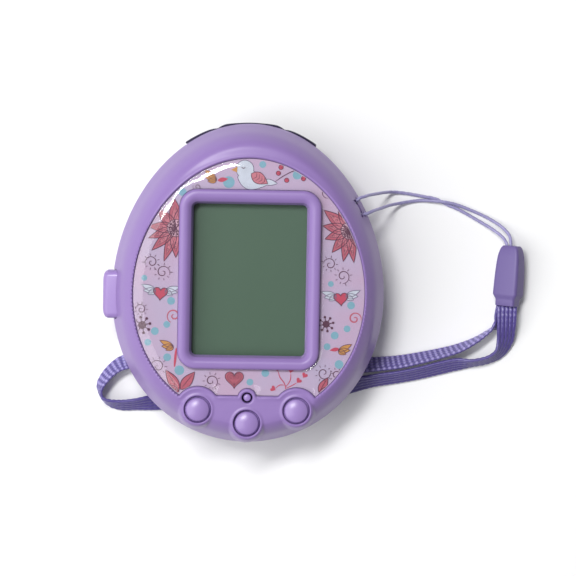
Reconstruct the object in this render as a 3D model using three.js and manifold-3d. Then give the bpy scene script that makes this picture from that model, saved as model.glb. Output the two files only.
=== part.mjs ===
// Virtual pet keychain: an egg-shaped electronic toy lying on its back, with a wrist strap.
// Frame: millimetres, +X to the toy's right, +Y towards the egg's narrow end, +Z out of the screen.
// The origin is on the flat of the battery cover that the toy rests on; the egg is symmetric about x = 0.
import * as THREE from "three";
import { mergeVertices } from "three/addons/utils/BufferGeometryUtils.js";
import Module from "manifold-3d";

const wasm = await Module();
wasm.setup();

// ---- Driving dimensions (mm) ----
const HALF_WIDTH = 28.1;
const HALF_LENGTH = 33;
const EGG_TAPER = 0.07; // how much narrower the egg is towards +Y
const GAP = 0.3; // between pieces that touch on the real toy
const RIM_Z = 10.6; // height of the parting line
const WALL = 1.6;
const FLAT_RATIO = 0.26; // part of the egg's size that is flat on the back
const EGG_SIDES = 44;

const FACE_FLOOR_Z = 19.3; // bottom of the recess that holds the printed faceplate
const CEILING_Z = 17.8; // inside of the front shell
const FACE_INSET = 4.55; // ring of bare shell at the sides of the faceplate
const BEZEL = { halfX: 14.4, halfY: 18.25, y: 1.2, corner: 3.7, topZ: 21.5 };
const OPENING = { halfX: 11.55, halfY: 15.4, y: 1.1, corner: 1.0 };
const WINDOW_LEDGE_Z = 19.2;

const BUTTON_HOLE_R = 2.75;
const BUTTON_R = 2.42;
const BUTTON_FLANGE_Z = 15.2;
const BUTTON_FLANGE_R = 2.9;
const BUTTONS = [
  { name: "left", x: -10.05, y: -25.4, bossR: 4.7 },
  { name: "middle", x: 0, y: -28.1, bossR: 3.5 },
  { name: "right", x: 10.05, y: -25.4, bossR: 4.7 },
];
const BOSS_TOP_Z = 20.3;
const RESET = { x: 0, y: -22.9, holeR: 1.08, pinR: 0.76, bossR: 1.9 };

const SIDE_BUTTON = { y: -2.6, z: 11.1, halfY: 4.97, halfZ: 2.5, corner: 1.3, proud: 2.05 };
// The strap's cord passes through a U-shaped channel behind a bar in the right side wall.
const STRAP_CHANNEL = { angle: 30.2, inset: 0.68, z: 13, bendR: 1.75, r: 0.62 };

const BOARD = { bottomZ: 11.6, topZ: 12.6, inset: 3.6 };
const SCREW_POSTS = [
  { x: -13.3, y: 23.8 },
  { x: 13.3, y: 23.8 },
  { x: -19.5, y: -12.5 },
  { x: 19.5, y: -12.5 },
];
const BOARD_SCREWS = [
  { x: -18.3, y: 10.5 },
  { x: 18.3, y: 10.5 },
];
const CELL = { r: 5.8, height: 5.4, x: 6.3, bottomZ: 2.4 };
const BAY_TOP_Z = 9.2;
const COVER = { halfX: 13.8, halfY: 8.3, corner: 6, screwY: 11, tongueR: 4 };
const BUZZER = { y: 20.5, r: 6.2, z: 6.2 };

const CORD_D = 0.7;
const RIBBON = { width: 4.2, thickness: 0.8 };
const CAP = { width: 5.6, depth: 4.4, turn: 33 };

// ---- Colours ----
const LILAC = 0xaf97d0;
const PINK_PRINT = 0xbaa5c0;
const LCD_GREEN = 0x566d5e;
const DARK_WINDOW = 0x363148;
const RIBBON_PURPLE = 0x6a5fa8;
const CAP_PURPLE = 0x8374ad;

// ---- Solid helpers ----
function solid(geometry) {
  const bare = geometry.clone();
  bare.deleteAttribute("normal");
  bare.deleteAttribute("uv");
  const merged = mergeVertices(bare, 1e-4);
  return new wasm.Manifold(
    new wasm.Mesh({
      numProp: 3,
      vertProperties: merged.attributes.position.array,
      triVerts: new Uint32Array(merged.index.array),
    }),
  );
}

function join(...solids) {
  return solids.reduce((a, b) => a.add(b));
}

function cut(body, ...tools) {
  return tools.reduce((a, b) => a.subtract(b), body);
}

function geometryOf(body) {
  const mesh = body.getMesh();
  const geometry = new THREE.BufferGeometry();
  geometry.setAttribute("position", new THREE.BufferAttribute(new Float32Array(mesh.vertProperties), 3));
  geometry.setIndex(new THREE.BufferAttribute(new Uint32Array(mesh.triVerts), 1));
  return geometry;
}

// Closed skin through a stack of rings that all have the same number of points, counter-clockwise
// as seen from the last ring back along the stack.
function loft(rings) {
  const sides = rings[0].length;
  const points = rings.flat();
  const faces = [];
  for (let i = 0; i < rings.length - 1; i++) {
    for (let j = 0; j < sides; j++) {
      const a = i * sides + j;
      const b = i * sides + ((j + 1) % sides);
      faces.push(a, b, b + sides, a, b + sides, a + sides);
    }
  }
  const last = (rings.length - 1) * sides;
  for (const [start, flip] of [[0, true], [last, false]]) {
    const ring = rings[start / sides];
    const middle = ring.reduce((sum, p) => sum.add(p), new THREE.Vector3()).divideScalar(sides);
    const centre = points.push(middle) - 1;
    for (let j = 0; j < sides; j++) {
      const a = start + j;
      const b = start + ((j + 1) % sides);
      faces.push(centre, flip ? b : a, flip ? a : b);
    }
  }
  const geometry = new THREE.BufferGeometry().setFromPoints(points);
  geometry.setIndex(faces);
  return solid(geometry);
}

function extrude(shape, z0, z1) {
  const geometry = new THREE.ExtrudeGeometry(shape, { depth: z1 - z0, bevelEnabled: false });
  return solid(geometry.translate(0, 0, z0));
}

function box(x0, x1, y0, y1, z0, z1) {
  const geometry = new THREE.BoxGeometry(x1 - x0, y1 - y0, z1 - z0);
  return solid(geometry.translate((x0 + x1) / 2, (y0 + y1) / 2, (z0 + z1) / 2));
}

// Upright cylinder or cone.
function post(x, y, z0, z1, r0, r1 = r0, sides = 16) {
  const geometry = new THREE.CylinderGeometry(r1, r0, z1 - z0, sides);
  return solid(geometry.rotateX(Math.PI / 2).translate(x, y, (z0 + z1) / 2));
}

// Solid of revolution about a vertical axis through (x, y); the profile is [radius, z] from bottom to top.
function turned(x, y, profile, sides = 20) {
  const points = profile.map(([r, z]) => new THREE.Vector2(r, z));
  const geometry = new THREE.LatheGeometry(points, sides);
  return solid(geometry.rotateX(Math.PI / 2).translate(x, y, 0));
}

// Corner arcs of a rounded rectangle, counter-clockwise.
function roundedRectPoints(halfX, halfY, corner, x = 0, y = 0, steps = 4) {
  const points = [];
  for (let quarter = 0; quarter < 4; quarter++) {
    const signX = quarter === 0 || quarter === 3 ? 1 : -1;
    const signY = quarter < 2 ? 1 : -1;
    for (let i = 0; i <= steps; i++) {
      const angle = ((quarter + i / steps) * Math.PI) / 2;
      points.push(new THREE.Vector2(
        x + signX * (halfX - corner) + corner * Math.cos(angle),
        y + signY * (halfY - corner) + corner * Math.sin(angle),
      ));
    }
  }
  return points;
}

function roundedRect(...sizes) {
  return new THREE.Shape(roundedRectPoints(...sizes));
}

// ---- The egg ----
function eggPoint(angle, inset, z) {
  const narrowing = 1 - EGG_TAPER * Math.sin(angle);
  const x = (HALF_WIDTH - inset) * Math.cos(angle) * narrowing;
  return new THREE.Vector3(x, (HALF_LENGTH - inset) * Math.sin(angle), z);
}

function eggRing(inset, z) {
  const ring = [];
  for (let i = 0; i < EGG_SIDES; i++) ring.push(eggPoint((2 * Math.PI * i) / EGG_SIDES, inset, z));
  return ring;
}

// The same outline shrunk towards the middle by a ratio, for the domed back.
function scaledEggRing(ratio, inset, z) {
  return eggRing(inset, z).map((p) => new THREE.Vector3(p.x * ratio, p.y * ratio, z));
}

function eggSlab(inset, z0, z1) {
  return loft([eggRing(inset, z0), eggRing(inset, z1)]);
}

function domeHeight(ratio, z0, z1) {
  const s = Math.max(0, (ratio - FLAT_RATIO) / (1 - FLAT_RATIO));
  return z0 + (z1 - z0) * (1 - Math.sqrt(1 - s ** 1.5));
}

function dome(inset, z0, z1, ratios) {
  return loft(ratios.map((ratio) => scaledEggRing(ratio, inset, domeHeight(ratio, z0, z1))));
}

function outwardNormal(angle) {
  return new THREE.Vector3(Math.cos(angle) / HALF_WIDTH, Math.sin(angle) / HALF_LENGTH, 0).normalize();
}

// ---- Faceplate outline ----
// The egg inset by the bare ring, with a straight lower edge that steps round the button bosses.
const FACE_BOTTOM_Y = -22.6;
const FACE_START = Math.asin(-0.812); // angle at which the egg edge meets the lower edge

function faceEdge(angle, gap) {
  const up = Math.max(0, Math.sin(angle));
  const down = Math.max(0, -Math.sin(angle));
  return eggPoint(angle, FACE_INSET + 2.65 * up ** 2 + 1.2 * down ** 2 + gap, 0);
}

function faceShape(gap) {
  const steps = 36;
  const points = [];
  for (let i = 0; i <= steps; i++) {
    const p = faceEdge(FACE_START + ((Math.PI - 2 * FACE_START) * i) / steps, gap);
    points.push(new THREE.Vector2(p.x, Math.max(p.y, FACE_BOTTOM_Y + gap)));
  }
  return new THREE.Shape(points);
}

function faceSlab(gap, z0, z1) {
  const bosses = [BUTTONS[0], BUTTONS[2], RESET].map((b) => {
    const r = b.bossR + gap;
    return post(b.x, b.y, z0 - 1, z1 + 1, r, r, 24);
  });
  return cut(extrude(faceShape(gap), z0, z1), ...bosses);
}

// ---- Shells ----
// Profiles of the front shell as [inset from the outline, z].
const FRONT_OUTSIDE = [
  [0, RIM_Z + GAP / 2], [0.2, 11.5], [1.0, 14.0], [1.8, 16.4], [2.3, 17.5],
  [3.0, 18.6], [3.8, 19.5], [4.7, 20.1], [6.0, 20.3], [12, 20.4],
];
const FRONT_INSIDE = [
  [WALL, RIM_Z - 1], [1.8, 11], [2.6, 13.4], [3.3, 15.4], [4.3, 16.9], [6.2, CEILING_Z],
];

function frontBosses() {
  return BUTTONS.map((b) => {
    const topR = Math.min(b.bossR, 3.5);
    return post(b.x, b.y, 14.4, BOSS_TOP_Z, topR + 1.2, topR, 24);
  });
}

function bezel() {
  const steps = [[0, FACE_FLOOR_Z - 1], [0, BEZEL.topZ - 0.5], [0.35, BEZEL.topZ - 0.1], [0.8, BEZEL.topZ]];
  return loft(steps.map(([inset, z]) => rectRing(BEZEL, inset, z)));
}

function frontHoles() {
  const pilots = SCREW_POSTS.map((p) => post(p.x, p.y, 9, 16.4, 1.0, 1.0, 8));
  const boardPilots = BOARD_SCREWS.map((p) => post(p.x, p.y, 11, 16.2, 0.9, 0.9, 8));
  const buttonHoles = BUTTONS.map((b) => post(b.x, b.y, 10, 25, BUTTON_HOLE_R, BUTTON_HOLE_R, 24));
  const flangeR = BUTTON_FLANGE_R + GAP;
  const flangeRooms = BUTTONS.map((b) => post(b.x, b.y, BUTTON_FLANGE_Z - 1, 16.5, flangeR, flangeR, 24));
  const resetHole = post(RESET.x, RESET.y, 10, 25, RESET.holeR);
  return [...pilots, ...boardPilots, ...flangeRooms, ...buttonHoles, resetHole];
}

function screenOpening() {
  const opening = loft([
    rectRing(OPENING, 0, WINDOW_LEDGE_Z - 2),
    rectRing(OPENING, 0, BEZEL.topZ - 1.1),
    rectRing(OPENING, -0.9, 25),
  ]);
  const pocket = roundedRect(12.4, 16.2, 1.2, 0, OPENING.y);
  return join(opening, extrude(pocket, CEILING_Z - 0.2, WINDOW_LEDGE_Z));
}

function frontShell() {
  const egg = loft(FRONT_OUTSIDE.map(([inset, z]) => eggRing(inset, z)));
  const cavity = loft(FRONT_INSIDE.map(([inset, z]) => eggRing(inset, z)));
  const skin = cut(join(egg, ...frontBosses()), faceSlab(0, FACE_FLOOR_Z, 25));
  const shell = cut(join(skin, bezel()), cavity);
  const posts = SCREW_POSTS.map((p) => post(p.x, p.y, RIM_Z + 0.4, CEILING_Z + 0.4, 2.2).intersect(egg));
  const boardPosts = BOARD_SCREWS.map((p) => post(p.x, p.y, BOARD.topZ + GAP, CEILING_Z + 0.4, 1.6));
  const whole = join(shell, ...posts, ...boardPosts, strapBoss().intersect(egg));
  return cut(whole, ...frontHoles(), screenOpening(), sideSlot(), strapChannel());
}

// Ring of a rounded rectangle, inset from the given outline.
function rectRing(rect, inset, z) {
  const corner = Math.max(0.3, rect.corner - inset);
  const points = roundedRectPoints(rect.halfX - inset, rect.halfY - inset, corner, 0, rect.y, 4);
  return points.map((p) => new THREE.Vector3(p.x, p.y, z));
}

// Opening for the side button, through both shells at the parting line.
function sideSlot() {
  const { y, z, halfY, halfZ, corner } = SIDE_BUTTON;
  const slot = sideways(roundedRect(halfY + GAP, halfZ + GAP, corner + GAP), -35, -22);
  const flangeRoom = box(-25.75, -20, y - halfY - 1.2, y + halfY + 1.2, z - halfZ - 1.2, z + halfZ + 1.2);
  return join(slot, flangeRoom);
}

// Extrudes a shape drawn in (y, z) around the side button's centre along X.
function sideways(shape, x0, x1) {
  const geometry = new THREE.ExtrudeGeometry(shape, { depth: x1 - x0, bevelEnabled: false });
  geometry.rotateX(Math.PI / 2).rotateZ(Math.PI / 2);
  return solid(geometry.translate(x0, SIDE_BUTTON.y, SIDE_BUTTON.z));
}

const DOME_RATIOS = [FLAT_RATIO, 0.4, 0.55, 0.69, 0.81, 0.9, 0.955, 0.988, 1];

function coverShape(gap) {
  return roundedRect(COVER.halfX + gap, COVER.halfY + gap, COVER.corner);
}

function coverPrism(gap) {
  const tongueR = COVER.tongueR + gap;
  return join(extrude(coverShape(gap), -1, 3.4), post(0, COVER.screwY, -1, 3.4, tongueR, tongueR, 24));
}

function backDome() {
  const outer = dome(0, 0, RIM_Z - GAP / 2, DOME_RATIOS);
  const inner = dome(WALL, 1.5, RIM_Z + 1, DOME_RATIOS);
  return { outer, skin: cut(outer, inner) };
}

function backShell() {
  const { outer, skin } = backDome();
  const bay = cut(
    extrude(roundedRect(COVER.halfX + 1.3, COVER.halfY + 1.3, COVER.corner + 1.1), 0.2, BAY_TOP_Z),
    extrude(coverShape(GAP / 2), -1, BAY_TOP_Z - 0.8),
  );
  const screwTubes = SCREW_POSTS.map((p) => post(p.x, p.y, 2, RIM_Z - 0.2, 2.6));
  const coverPost = post(0, COVER.screwY, 3.9, BAY_TOP_Z, 2.6);
  const buzzerRing = cut(post(0, BUZZER.y, 0.5, BUZZER.z - GAP, 6.6), post(0, BUZZER.y, 0, 9, 5.4));
  const ribs = join(bay, ...screwTubes, coverPost, buzzerRing).intersect(join(outer, eggSlab(WALL, 9, 12)));
  const shell = join(cut(skin, coverPrism(GAP / 2)), cut(ribs, coverPrismInside()));
  const bores = SCREW_POSTS.map((p) => join(
    post(p.x, p.y, 0, 8.3, 2.05),
    post(p.x, p.y, 8, 12, 1.15, 1.15, 8),
  ));
  const coverPilot = post(0, COVER.screwY, 3, 8.4, 1.0, 1.0, 8);
  const sound = [[0, 0], [1.9, 0], [-1.9, 0], [0, 1.9], [0, -1.9]];
  const soundHoles = sound.map(([x, y]) => post(x, BUZZER.y + y, 0, 6, 0.55, 0.55, 10));
  return cut(shell, ...bores, coverPilot, ...soundHoles, sideSlot(), irNotch());
}

// Space that the battery cover and its boss take inside the back shell.
function coverPrismInside() {
  return join(coverPrism(GAP / 2), post(0, COVER.screwY, -1, 3.9, 3.2 + GAP));
}

// Point near the strap bar, `along` the wall and `out` from its surface.
function strapPoint(along, out) {
  const { angle, inset, z } = STRAP_CHANNEL;
  const radians = THREE.MathUtils.degToRad(angle);
  const normal = outwardNormal(radians);
  const tangent = new THREE.Vector3(-normal.y, normal.x, 0);
  return eggPoint(radians, inset, z).addScaledVector(tangent, along).addScaledVector(normal, out);
}

// Inside thickening that the channel is cut into.
function strapBoss() {
  const { x, y } = strapPoint(0, -2.9);
  return post(x, y, BOARD.topZ + GAP, 16.2, 2.3);
}

// U-shaped way for the cord, and the slit over it that sets the bar free on its inner side.
function strapChannel() {
  const { bendR, r, z } = STRAP_CHANNEL;
  const points = [strapPoint(bendR, 2.45)];
  for (const turn of [0, 45, 90, 135, 180]) {
    const radians = THREE.MathUtils.degToRad(turn);
    points.push(strapPoint(bendR * Math.cos(radians), 0.45 - bendR * Math.sin(radians)));
  }
  points.push(strapPoint(-bendR, 2.45));
  const section = new THREE.Shape();
  section.absarc(0, 0, r, 0, 2 * Math.PI);
  const extrudePath = new THREE.CatmullRomCurve3(points);
  const options = { extrudePath, steps: 18, curveSegments: 4, bevelEnabled: false };
  const corners = [[-2.1, -0.7], [2.1, -0.7], [2.1, -0.35], [-2.1, -0.35]].map((c) => strapPoint(...c));
  const slit = new THREE.Shape(corners.map((p) => new THREE.Vector2(p.x, p.y)));
  return join(solid(new THREE.ExtrudeGeometry(section, options)), extrude(slit, z, 18));
}

// ---- Infrared window: three lobes along the top edge, the middle one standing proudest ----
const IR = { z0: 5.9, z1: 10.2, halfX: 13.1, lobeX: 7, thickness: 1.5 };

function irNotch() {
  return box(-IR.halfX - GAP, IR.halfX + GAP, 24, 40, IR.z0 - GAP, 12);
}

// Arc of the egg's outline from x0 to x1 that bulges outwards in the middle.
function irLobe(x0, x1, bulge) {
  const steps = 6;
  const points = [];
  for (let i = 0; i <= steps; i++) {
    const x = x0 + ((x1 - x0) * i) / steps;
    const angle = Math.acos(x / (HALF_WIDTH * (1 - 0.93 * EGG_TAPER)));
    const arch = Math.sqrt(Math.max(0, 1 - ((2 * i) / steps - 1) ** 2));
    points.push(eggPoint(angle, -bulge * arch, 0));
  }
  return points;
}

function irSlice(outline, inset, z0, z1) {
  const outer = outline.map((p) => new THREE.Vector2(p.x, p.y - inset));
  const inner = outline.map((p) => new THREE.Vector2(p.x * 0.98, p.y - IR.thickness - inset / 2));
  return extrude(new THREE.Shape([...outer, ...inner.reverse()]), z0, z1);
}

function irWindow() {
  const outline = [
    ...irLobe(IR.halfX, IR.lobeX, 0.35),
    ...irLobe(IR.lobeX, -IR.lobeX, 0.5).slice(1),
    ...irLobe(-IR.lobeX, -IR.halfX, 0.35).slice(1),
  ];
  return join(
    irSlice(outline, 0.9, IR.z0, 7.2),
    irSlice(outline, 0.3, 7.2, 8.8),
    irSlice(outline, 0.15, 8.8, IR.z1),
  );
}

// ---- Screen stack ----
function faceSheet(z0, z1) {
  const hole = roundedRect(BEZEL.halfX + GAP, BEZEL.halfY + GAP, BEZEL.corner, 0, BEZEL.y);
  return cut(faceSlab(GAP, z0, z1), extrude(hole, 18, 25));
}

function lcdFrame() {
  const outer = extrude(roundedRect(15, 19.3, 1.2, 0, OPENING.y, 2), BOARD.topZ + GAP, 17.4);
  return cut(outer, extrude(roundedRect(13.8, 17.7, 0.6, 0, OPENING.y, 2), 10, 20));
}

// ---- Buttons ----
function frontButton(b) {
  const z = BUTTON_FLANGE_Z;
  const top = b.name === "middle" ? 20.7 : 21.0;
  const profile = [
    [0, z], [BUTTON_FLANGE_R, z], [BUTTON_FLANGE_R, z + 0.9], [BUTTON_R, z + 0.9], [BUTTON_R, top - 0.75],
    [BUTTON_R - 0.15, top - 0.45], [BUTTON_R - 0.55, top - 0.2], [BUTTON_R - 1.3, top - 0.04], [0, top],
  ];
  return turned(b.x, b.y, profile, 24);
}

function resetPin() {
  const profile = [
    [0, 14.5], [1.6, 14.5], [1.6, 15.1], [RESET.pinR, 15.1],
    [RESET.pinR, 19.6], [RESET.pinR - 0.25, 19.9], [0, 19.95],
  ];
  return turned(RESET.x, RESET.y, profile, 14);
}

function sideButton() {
  const { halfY, halfZ, corner, proud } = SIDE_BUTTON;
  const face = -HALF_WIDTH - proud;
  const layers = [[-25.1, 0], [face + 0.9, 0], [face + 0.45, 0.12], [face + 0.12, 0.45], [face, 0.85]];
  const body = loft(layers.map(([x, inset]) => {
    const points = roundedRectPoints(halfY - inset, halfZ - inset, corner - inset / 2, 0, 0, 3);
    return points.map((p) => new THREE.Vector3(x, SIDE_BUTTON.y - p.x, SIDE_BUTTON.z + p.y));
  }));
  const flange = sideways(roundedRect(halfY + 0.8, halfZ + 0.7, corner), -25.4, -24.6);
  const nub = box(-24.9, -24.2, SIDE_BUTTON.y - 1, SIDE_BUTTON.y + 1, 9, 10.8);
  return join(body, flange, nub);
}

function buttonPad() {
  const outline = eggSlab(4.2, BOARD.topZ + GAP, 13.5);
  const sheet = cut(outline, box(-40, 40, -19.6, 40, 5, 25), post(RESET.x, RESET.y, 5, 25, 2.3));
  const domes = BUTTONS.map((b) => post(b.x, b.y, 13.1, 14.0, 2.3, 1.7));
  const corners = [-1, 1].map((side) => box(side * 19 - 4, side * 19 + 4, -30, -15, 5, 25));
  return cut(join(sheet, ...domes), ...corners);
}

// ---- Inside ----
function mainBoard() {
  const slab = eggSlab(BOARD.inset, BOARD.bottomZ, BOARD.topZ);
  const notches = SCREW_POSTS.map((p) => post(p.x, p.y, 5, 20, 2.6 + GAP));
  const outerNotches = SCREW_POSTS.map((p) => box(
    Math.min(p.x, 1.6 * p.x), Math.max(p.x, 1.6 * p.x), p.y - 2.9, p.y + 2.9, 5, 20));
  const holes = BOARD_SCREWS.map((p) => post(p.x, p.y, 5, 20, 0.95, 0.95, 10));
  const sideNotch = box(-40, -23, -9.5, 4.3, 5, 20);
  return cut(slab, ...notches, ...outerNotches, ...holes, sideNotch);
}

// Pan-head screw standing on its head, with a cross slot.
function screw(x, y, headZ, headR, headHeight, shaftR, tipZ) {
  const headTop = headZ + headHeight;
  const profile = [
    [0, headZ], [headR - 0.25, headZ], [headR, headZ + 0.3], [headR, headTop], [shaftR, headTop],
    [shaftR, tipZ - 0.6], [0, tipZ],
  ];
  const arm = headR * 0.62;
  const slot = join(
    box(x - arm, x + arm, y - 0.22, y + 0.22, headZ - 1, headZ + 0.7),
    box(x - 0.22, x + 0.22, y - arm, y + arm, headZ - 1, headZ + 0.7),
  );
  return cut(turned(x, y, profile, 12), slot);
}

function cell(x) {
  const { r, height, bottomZ } = CELL;
  const top = bottomZ + height;
  const profile = [
    [0, bottomZ], [r - 0.5, bottomZ], [r - 0.5, bottomZ + 0.5], [r, bottomZ + 0.9],
    [r, top - 0.3], [r - 0.3, top], [0, top],
  ];
  return turned(x, 0, profile, 24);
}

function contactPlate(side) {
  const plate = box(side * 6.3 - 3.5, side * 6.3 + 3.5, -3, 3, 8.0, 8.15);
  return join(plate, box(side * 6.3 - 1, side * 6.3 + 1, 2.5, 5.9, 8.0, 8.15));
}

function batteryCover() {
  const { skin } = backDome();
  const boss = post(0, COVER.screwY, 0.6, 3.5, 3.2);
  const lid = join(skin.intersect(coverPrism(-GAP / 2)), boss);
  return cut(lid, post(0, COVER.screwY, -1, 1.7, 2.05), post(0, COVER.screwY, 1, 5, 1.05, 1.05, 10));
}

// Solid of revolution about Y through the origin; the profile is [radius, distance].
function rod(profile, sides = 12) {
  return new THREE.LatheGeometry(profile.map(([r, y]) => new THREE.Vector2(r, y)), sides);
}

function irLed() {
  const profile = [[0, 0], [1.4, 0], [1.4, 2.6], [1.1, 3.5], [0, 4]];
  return solid(rod(profile).translate(-3.6, 26, 9.2));
}

function crystal() {
  const profile = [[0, 0], [1, 0], [1, 5.8], [0.9, 6], [0, 6]];
  return solid(rod(profile).rotateZ(-Math.PI / 2).translate(7, 14, 10.2));
}

function chipBlob() {
  const topZ = BOARD.bottomZ - GAP;
  return turned(-12, 16, [[0, 10.1], [2.2, 10.25], [3.6, 10.8], [4.2, topZ], [0, topZ]], 16);
}

// ---- Strap ----
// Middle line of the loop cord: out of the cap, along the table, up into the channel of the front shell,
// round the bar, out again and back along the table to the cap.
const LOOP_CORD_ROUTE = [
  [55.5, 8.9, 2.9], [55.3, 10.5, 2.3], [53.9, 12.3, 1.2], [50.7, 14.3, 0.5],
  [47.0, 15.9, 0.45], [43.9, 17.0, 0.75], [41.3, 17.5, 1.2], [38.5, 17.7, 0.8],
  [36.2, 17.7, 0.5], [33.9, 17.4, 0.7], [31.6, 17.0, 1.8], [29.5, 16.6, 4.2],
  [27.8, 16.1, 7.2], [26.3, 15.7, 10.2], [25.3, 15.4, 12.2], [24.04, 14.89, 13.0],
  [22.71, 14.8, 13.0], [21.7, 15.69, 13.0], [21.61, 17.02, 13.0], [22.5, 18.03, 13.0],
  [23.7, 18.45, 12.6], [24.6, 18.7, 11.2], [25.7, 18.9, 9.2], [27.1, 19.1, 6.2],
  [28.7, 19.3, 3.1], [30.5, 19.4, 1.1], [33.0, 19.2, 0.45], [36.8, 18.6, 0.45],
  [39.6, 17.9, 0.45], [41.9, 17.0, 0.45], [44.6, 15.9, 0.45], [48.3, 13.9, 0.5],
  [51.9, 11.8, 1.1], [53.9, 10.2, 2.1], [54.6, 8.9, 2.9],
];

// Middle line of the ribbon as [x, y, lift, lean]. Lean is how far the ribbon's width is turned up out
// of the table's plane, in degrees: 0 lies flat, 90 stands on its edge. Lift is its height above resting.
const RIBBON_ROUTE = [
  [54.9, -4.3, 2.05, 180], [54.5, -5.8, 1.2, 164], [53.5, -7.8, 0.2, 132], [51.8, -9.4, 0, 96],
  [48.9, -11.5, 0, 86], [45.1, -13.4, 0, 74], [41.2, -14.6, 0, 69], [36.9, -15.65, 0, 64],
  [32.7, -16.55, 0, 58], [28.2, -17.1, 0, 54], [23.5, -17.45, 0, 42], [19, -18.0, 0, 24],
  [14, -18.9, 0, 8], [8, -19.6, 0, 0], [0, -19.8, 0, 0], [-8, -19.3, 0, 0],
  [-14.5, -18.3, 0, 12], [-19.5, -17.5, 0, 30], [-23.2, -17.2, 0, 46], [-26.2, -17.8, 0, 52],
  [-28.3, -19.2, 0, 60], [-29.8, -20.9, 0, 64], [-30.7, -22.5, 0, 70], [-30.8, -23.8, 0, 80],
  [-30.4, -25.0, 0, 86], [-29.6, -25.8, 0, 78], [-28.2, -26.4, 0, 66], [-26.1, -26.7, 0, 58],
  [-23.4, -26.5, 0, 54], [-20.0, -26.1, 0, 38], [-15, -25.5, 0, 14], [-9, -25.0, 0, 0],
  [0, -24.6, 0, 0], [9, -24.1, 0, 0], [16, -23.15, 0, 14], [21.5, -21.95, 0, 33],
  [27, -20.7, 0, 49], [32.7, -19.75, 0, 51], [37, -18.85, 0, 50], [41.2, -17.75, 0, 48],
  [44.6, -16.95, 0, 50], [48.3, -16.55, 0, 68], [51.5, -15.75, 0, 66], [53.75, -14.3, 0, 54],
  [54.9, -11.6, 0.85, 28], [54.95, -9.0, 2.3, 14], [54.95, -6.6, 3.0, 5], [54.95, -4.3, 3.2, 0],
];

function loopCord() {
  const curve = new THREE.CatmullRomCurve3(LOOP_CORD_ROUTE.map((p) => new THREE.Vector3(...p)));
  const section = new THREE.Shape();
  section.absarc(0, 0, CORD_D / 2, 0, 2 * Math.PI);
  const options = { extrudePath: curve, steps: 64, curveSegments: 4, bevelEnabled: false };
  return solid(new THREE.ExtrudeGeometry(section, options));
}

// Height of the ribbon's middle above the table when it rests on it.
function restingHeight(lean) {
  const { width, thickness } = RIBBON;
  return (width * Math.abs(Math.sin(lean)) + thickness * Math.abs(Math.cos(lean))) / 2 + 0.05;
}

function wristRibbon() {
  const flat = new THREE.CatmullRomCurve3(RIBBON_ROUTE.map(([x, y]) => new THREE.Vector3(x, y, 0)));
  const settings = RIBBON_ROUTE.map(([, , lift, lean], i) => new THREE.Vector3(i, lift, lean));
  const set = new THREE.CatmullRomCurve3(settings);
  const steps = 78;
  const middles = [];
  const leans = [];
  for (let i = 0; i <= steps; i++) {
    const { y: lift, z: degrees } = set.getPoint(i / steps);
    leans.push(THREE.MathUtils.degToRad(degrees));
    middles.push(flat.getPoint(i / steps).setZ(restingHeight(leans[i]) + lift));
  }
  const rings = middles.map((middle, i) => {
    const along = middles[Math.min(i + 1, steps)].clone().sub(middles[Math.max(i - 1, 0)]).normalize();
    const level = new THREE.Vector3(-along.y, along.x, 0).normalize();
    const across = level.multiplyScalar(Math.cos(leans[i])).add(new THREE.Vector3(0, 0, Math.sin(leans[i])));
    const thick = along.clone().cross(across).normalize();
    return [[1, -1], [1, 1], [-1, 1], [-1, -1]].map(([a, b]) =>
      middle.clone()
        .addScaledVector(across, (a * RIBBON.width) / 2)
        .addScaledVector(thick, (b * RIBBON.thickness) / 2));
  });
  return loft(rings);
}

// Moulded cap that holds the cord's two ends and the ribbon's two ends; it lies on one long edge.
function strapCap() {
  const head = new THREE.Vector3(55.7, 8.5, 3.2);
  const foot = new THREE.Vector3(55.0, -3.9, 3.1);
  const along = foot.clone().sub(head);
  const length = along.length();
  along.normalize();
  const turn = THREE.MathUtils.degToRad(CAP.turn);
  const side = new THREE.Vector3(along.y, -along.x, 0).negate();
  const across = side.multiplyScalar(Math.cos(turn)).add(new THREE.Vector3(0, 0, Math.sin(turn)));
  const thick = along.clone().cross(across).normalize();
  const sections = [
    [0, 0.56], [0.35, 0.66], [1, 0.76], [2.2, 0.87], [5, 0.95], [10.2, 1], [11.5, 0.8], [length, 0.78],
  ];
  return loft(sections.map(([distance, scale]) => {
    const points = roundedRectPoints((CAP.width * scale) / 2, (CAP.depth * scale) / 2, 0.75 * scale, 0, 0, 3);
    return points.map((p) => head.clone().addScaledVector(along, distance)
      .addScaledVector(across, p.x).addScaledVector(thick, p.y));
  }));
}

// ---- Assembly ----
const toy = new THREE.Group();

function add(name, body, color, roughness, metalness = 0) {
  const material = new THREE.MeshStandardMaterial({ color, roughness, metalness });
  const mesh = new THREE.Mesh(geometryOf(body), material);
  mesh.name = name;
  toy.add(mesh);
}

const BLACK = 0x1a1a1d;
const NICKEL = 0xc9ccd0;
const STEEL = 0xb8babf;

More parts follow.
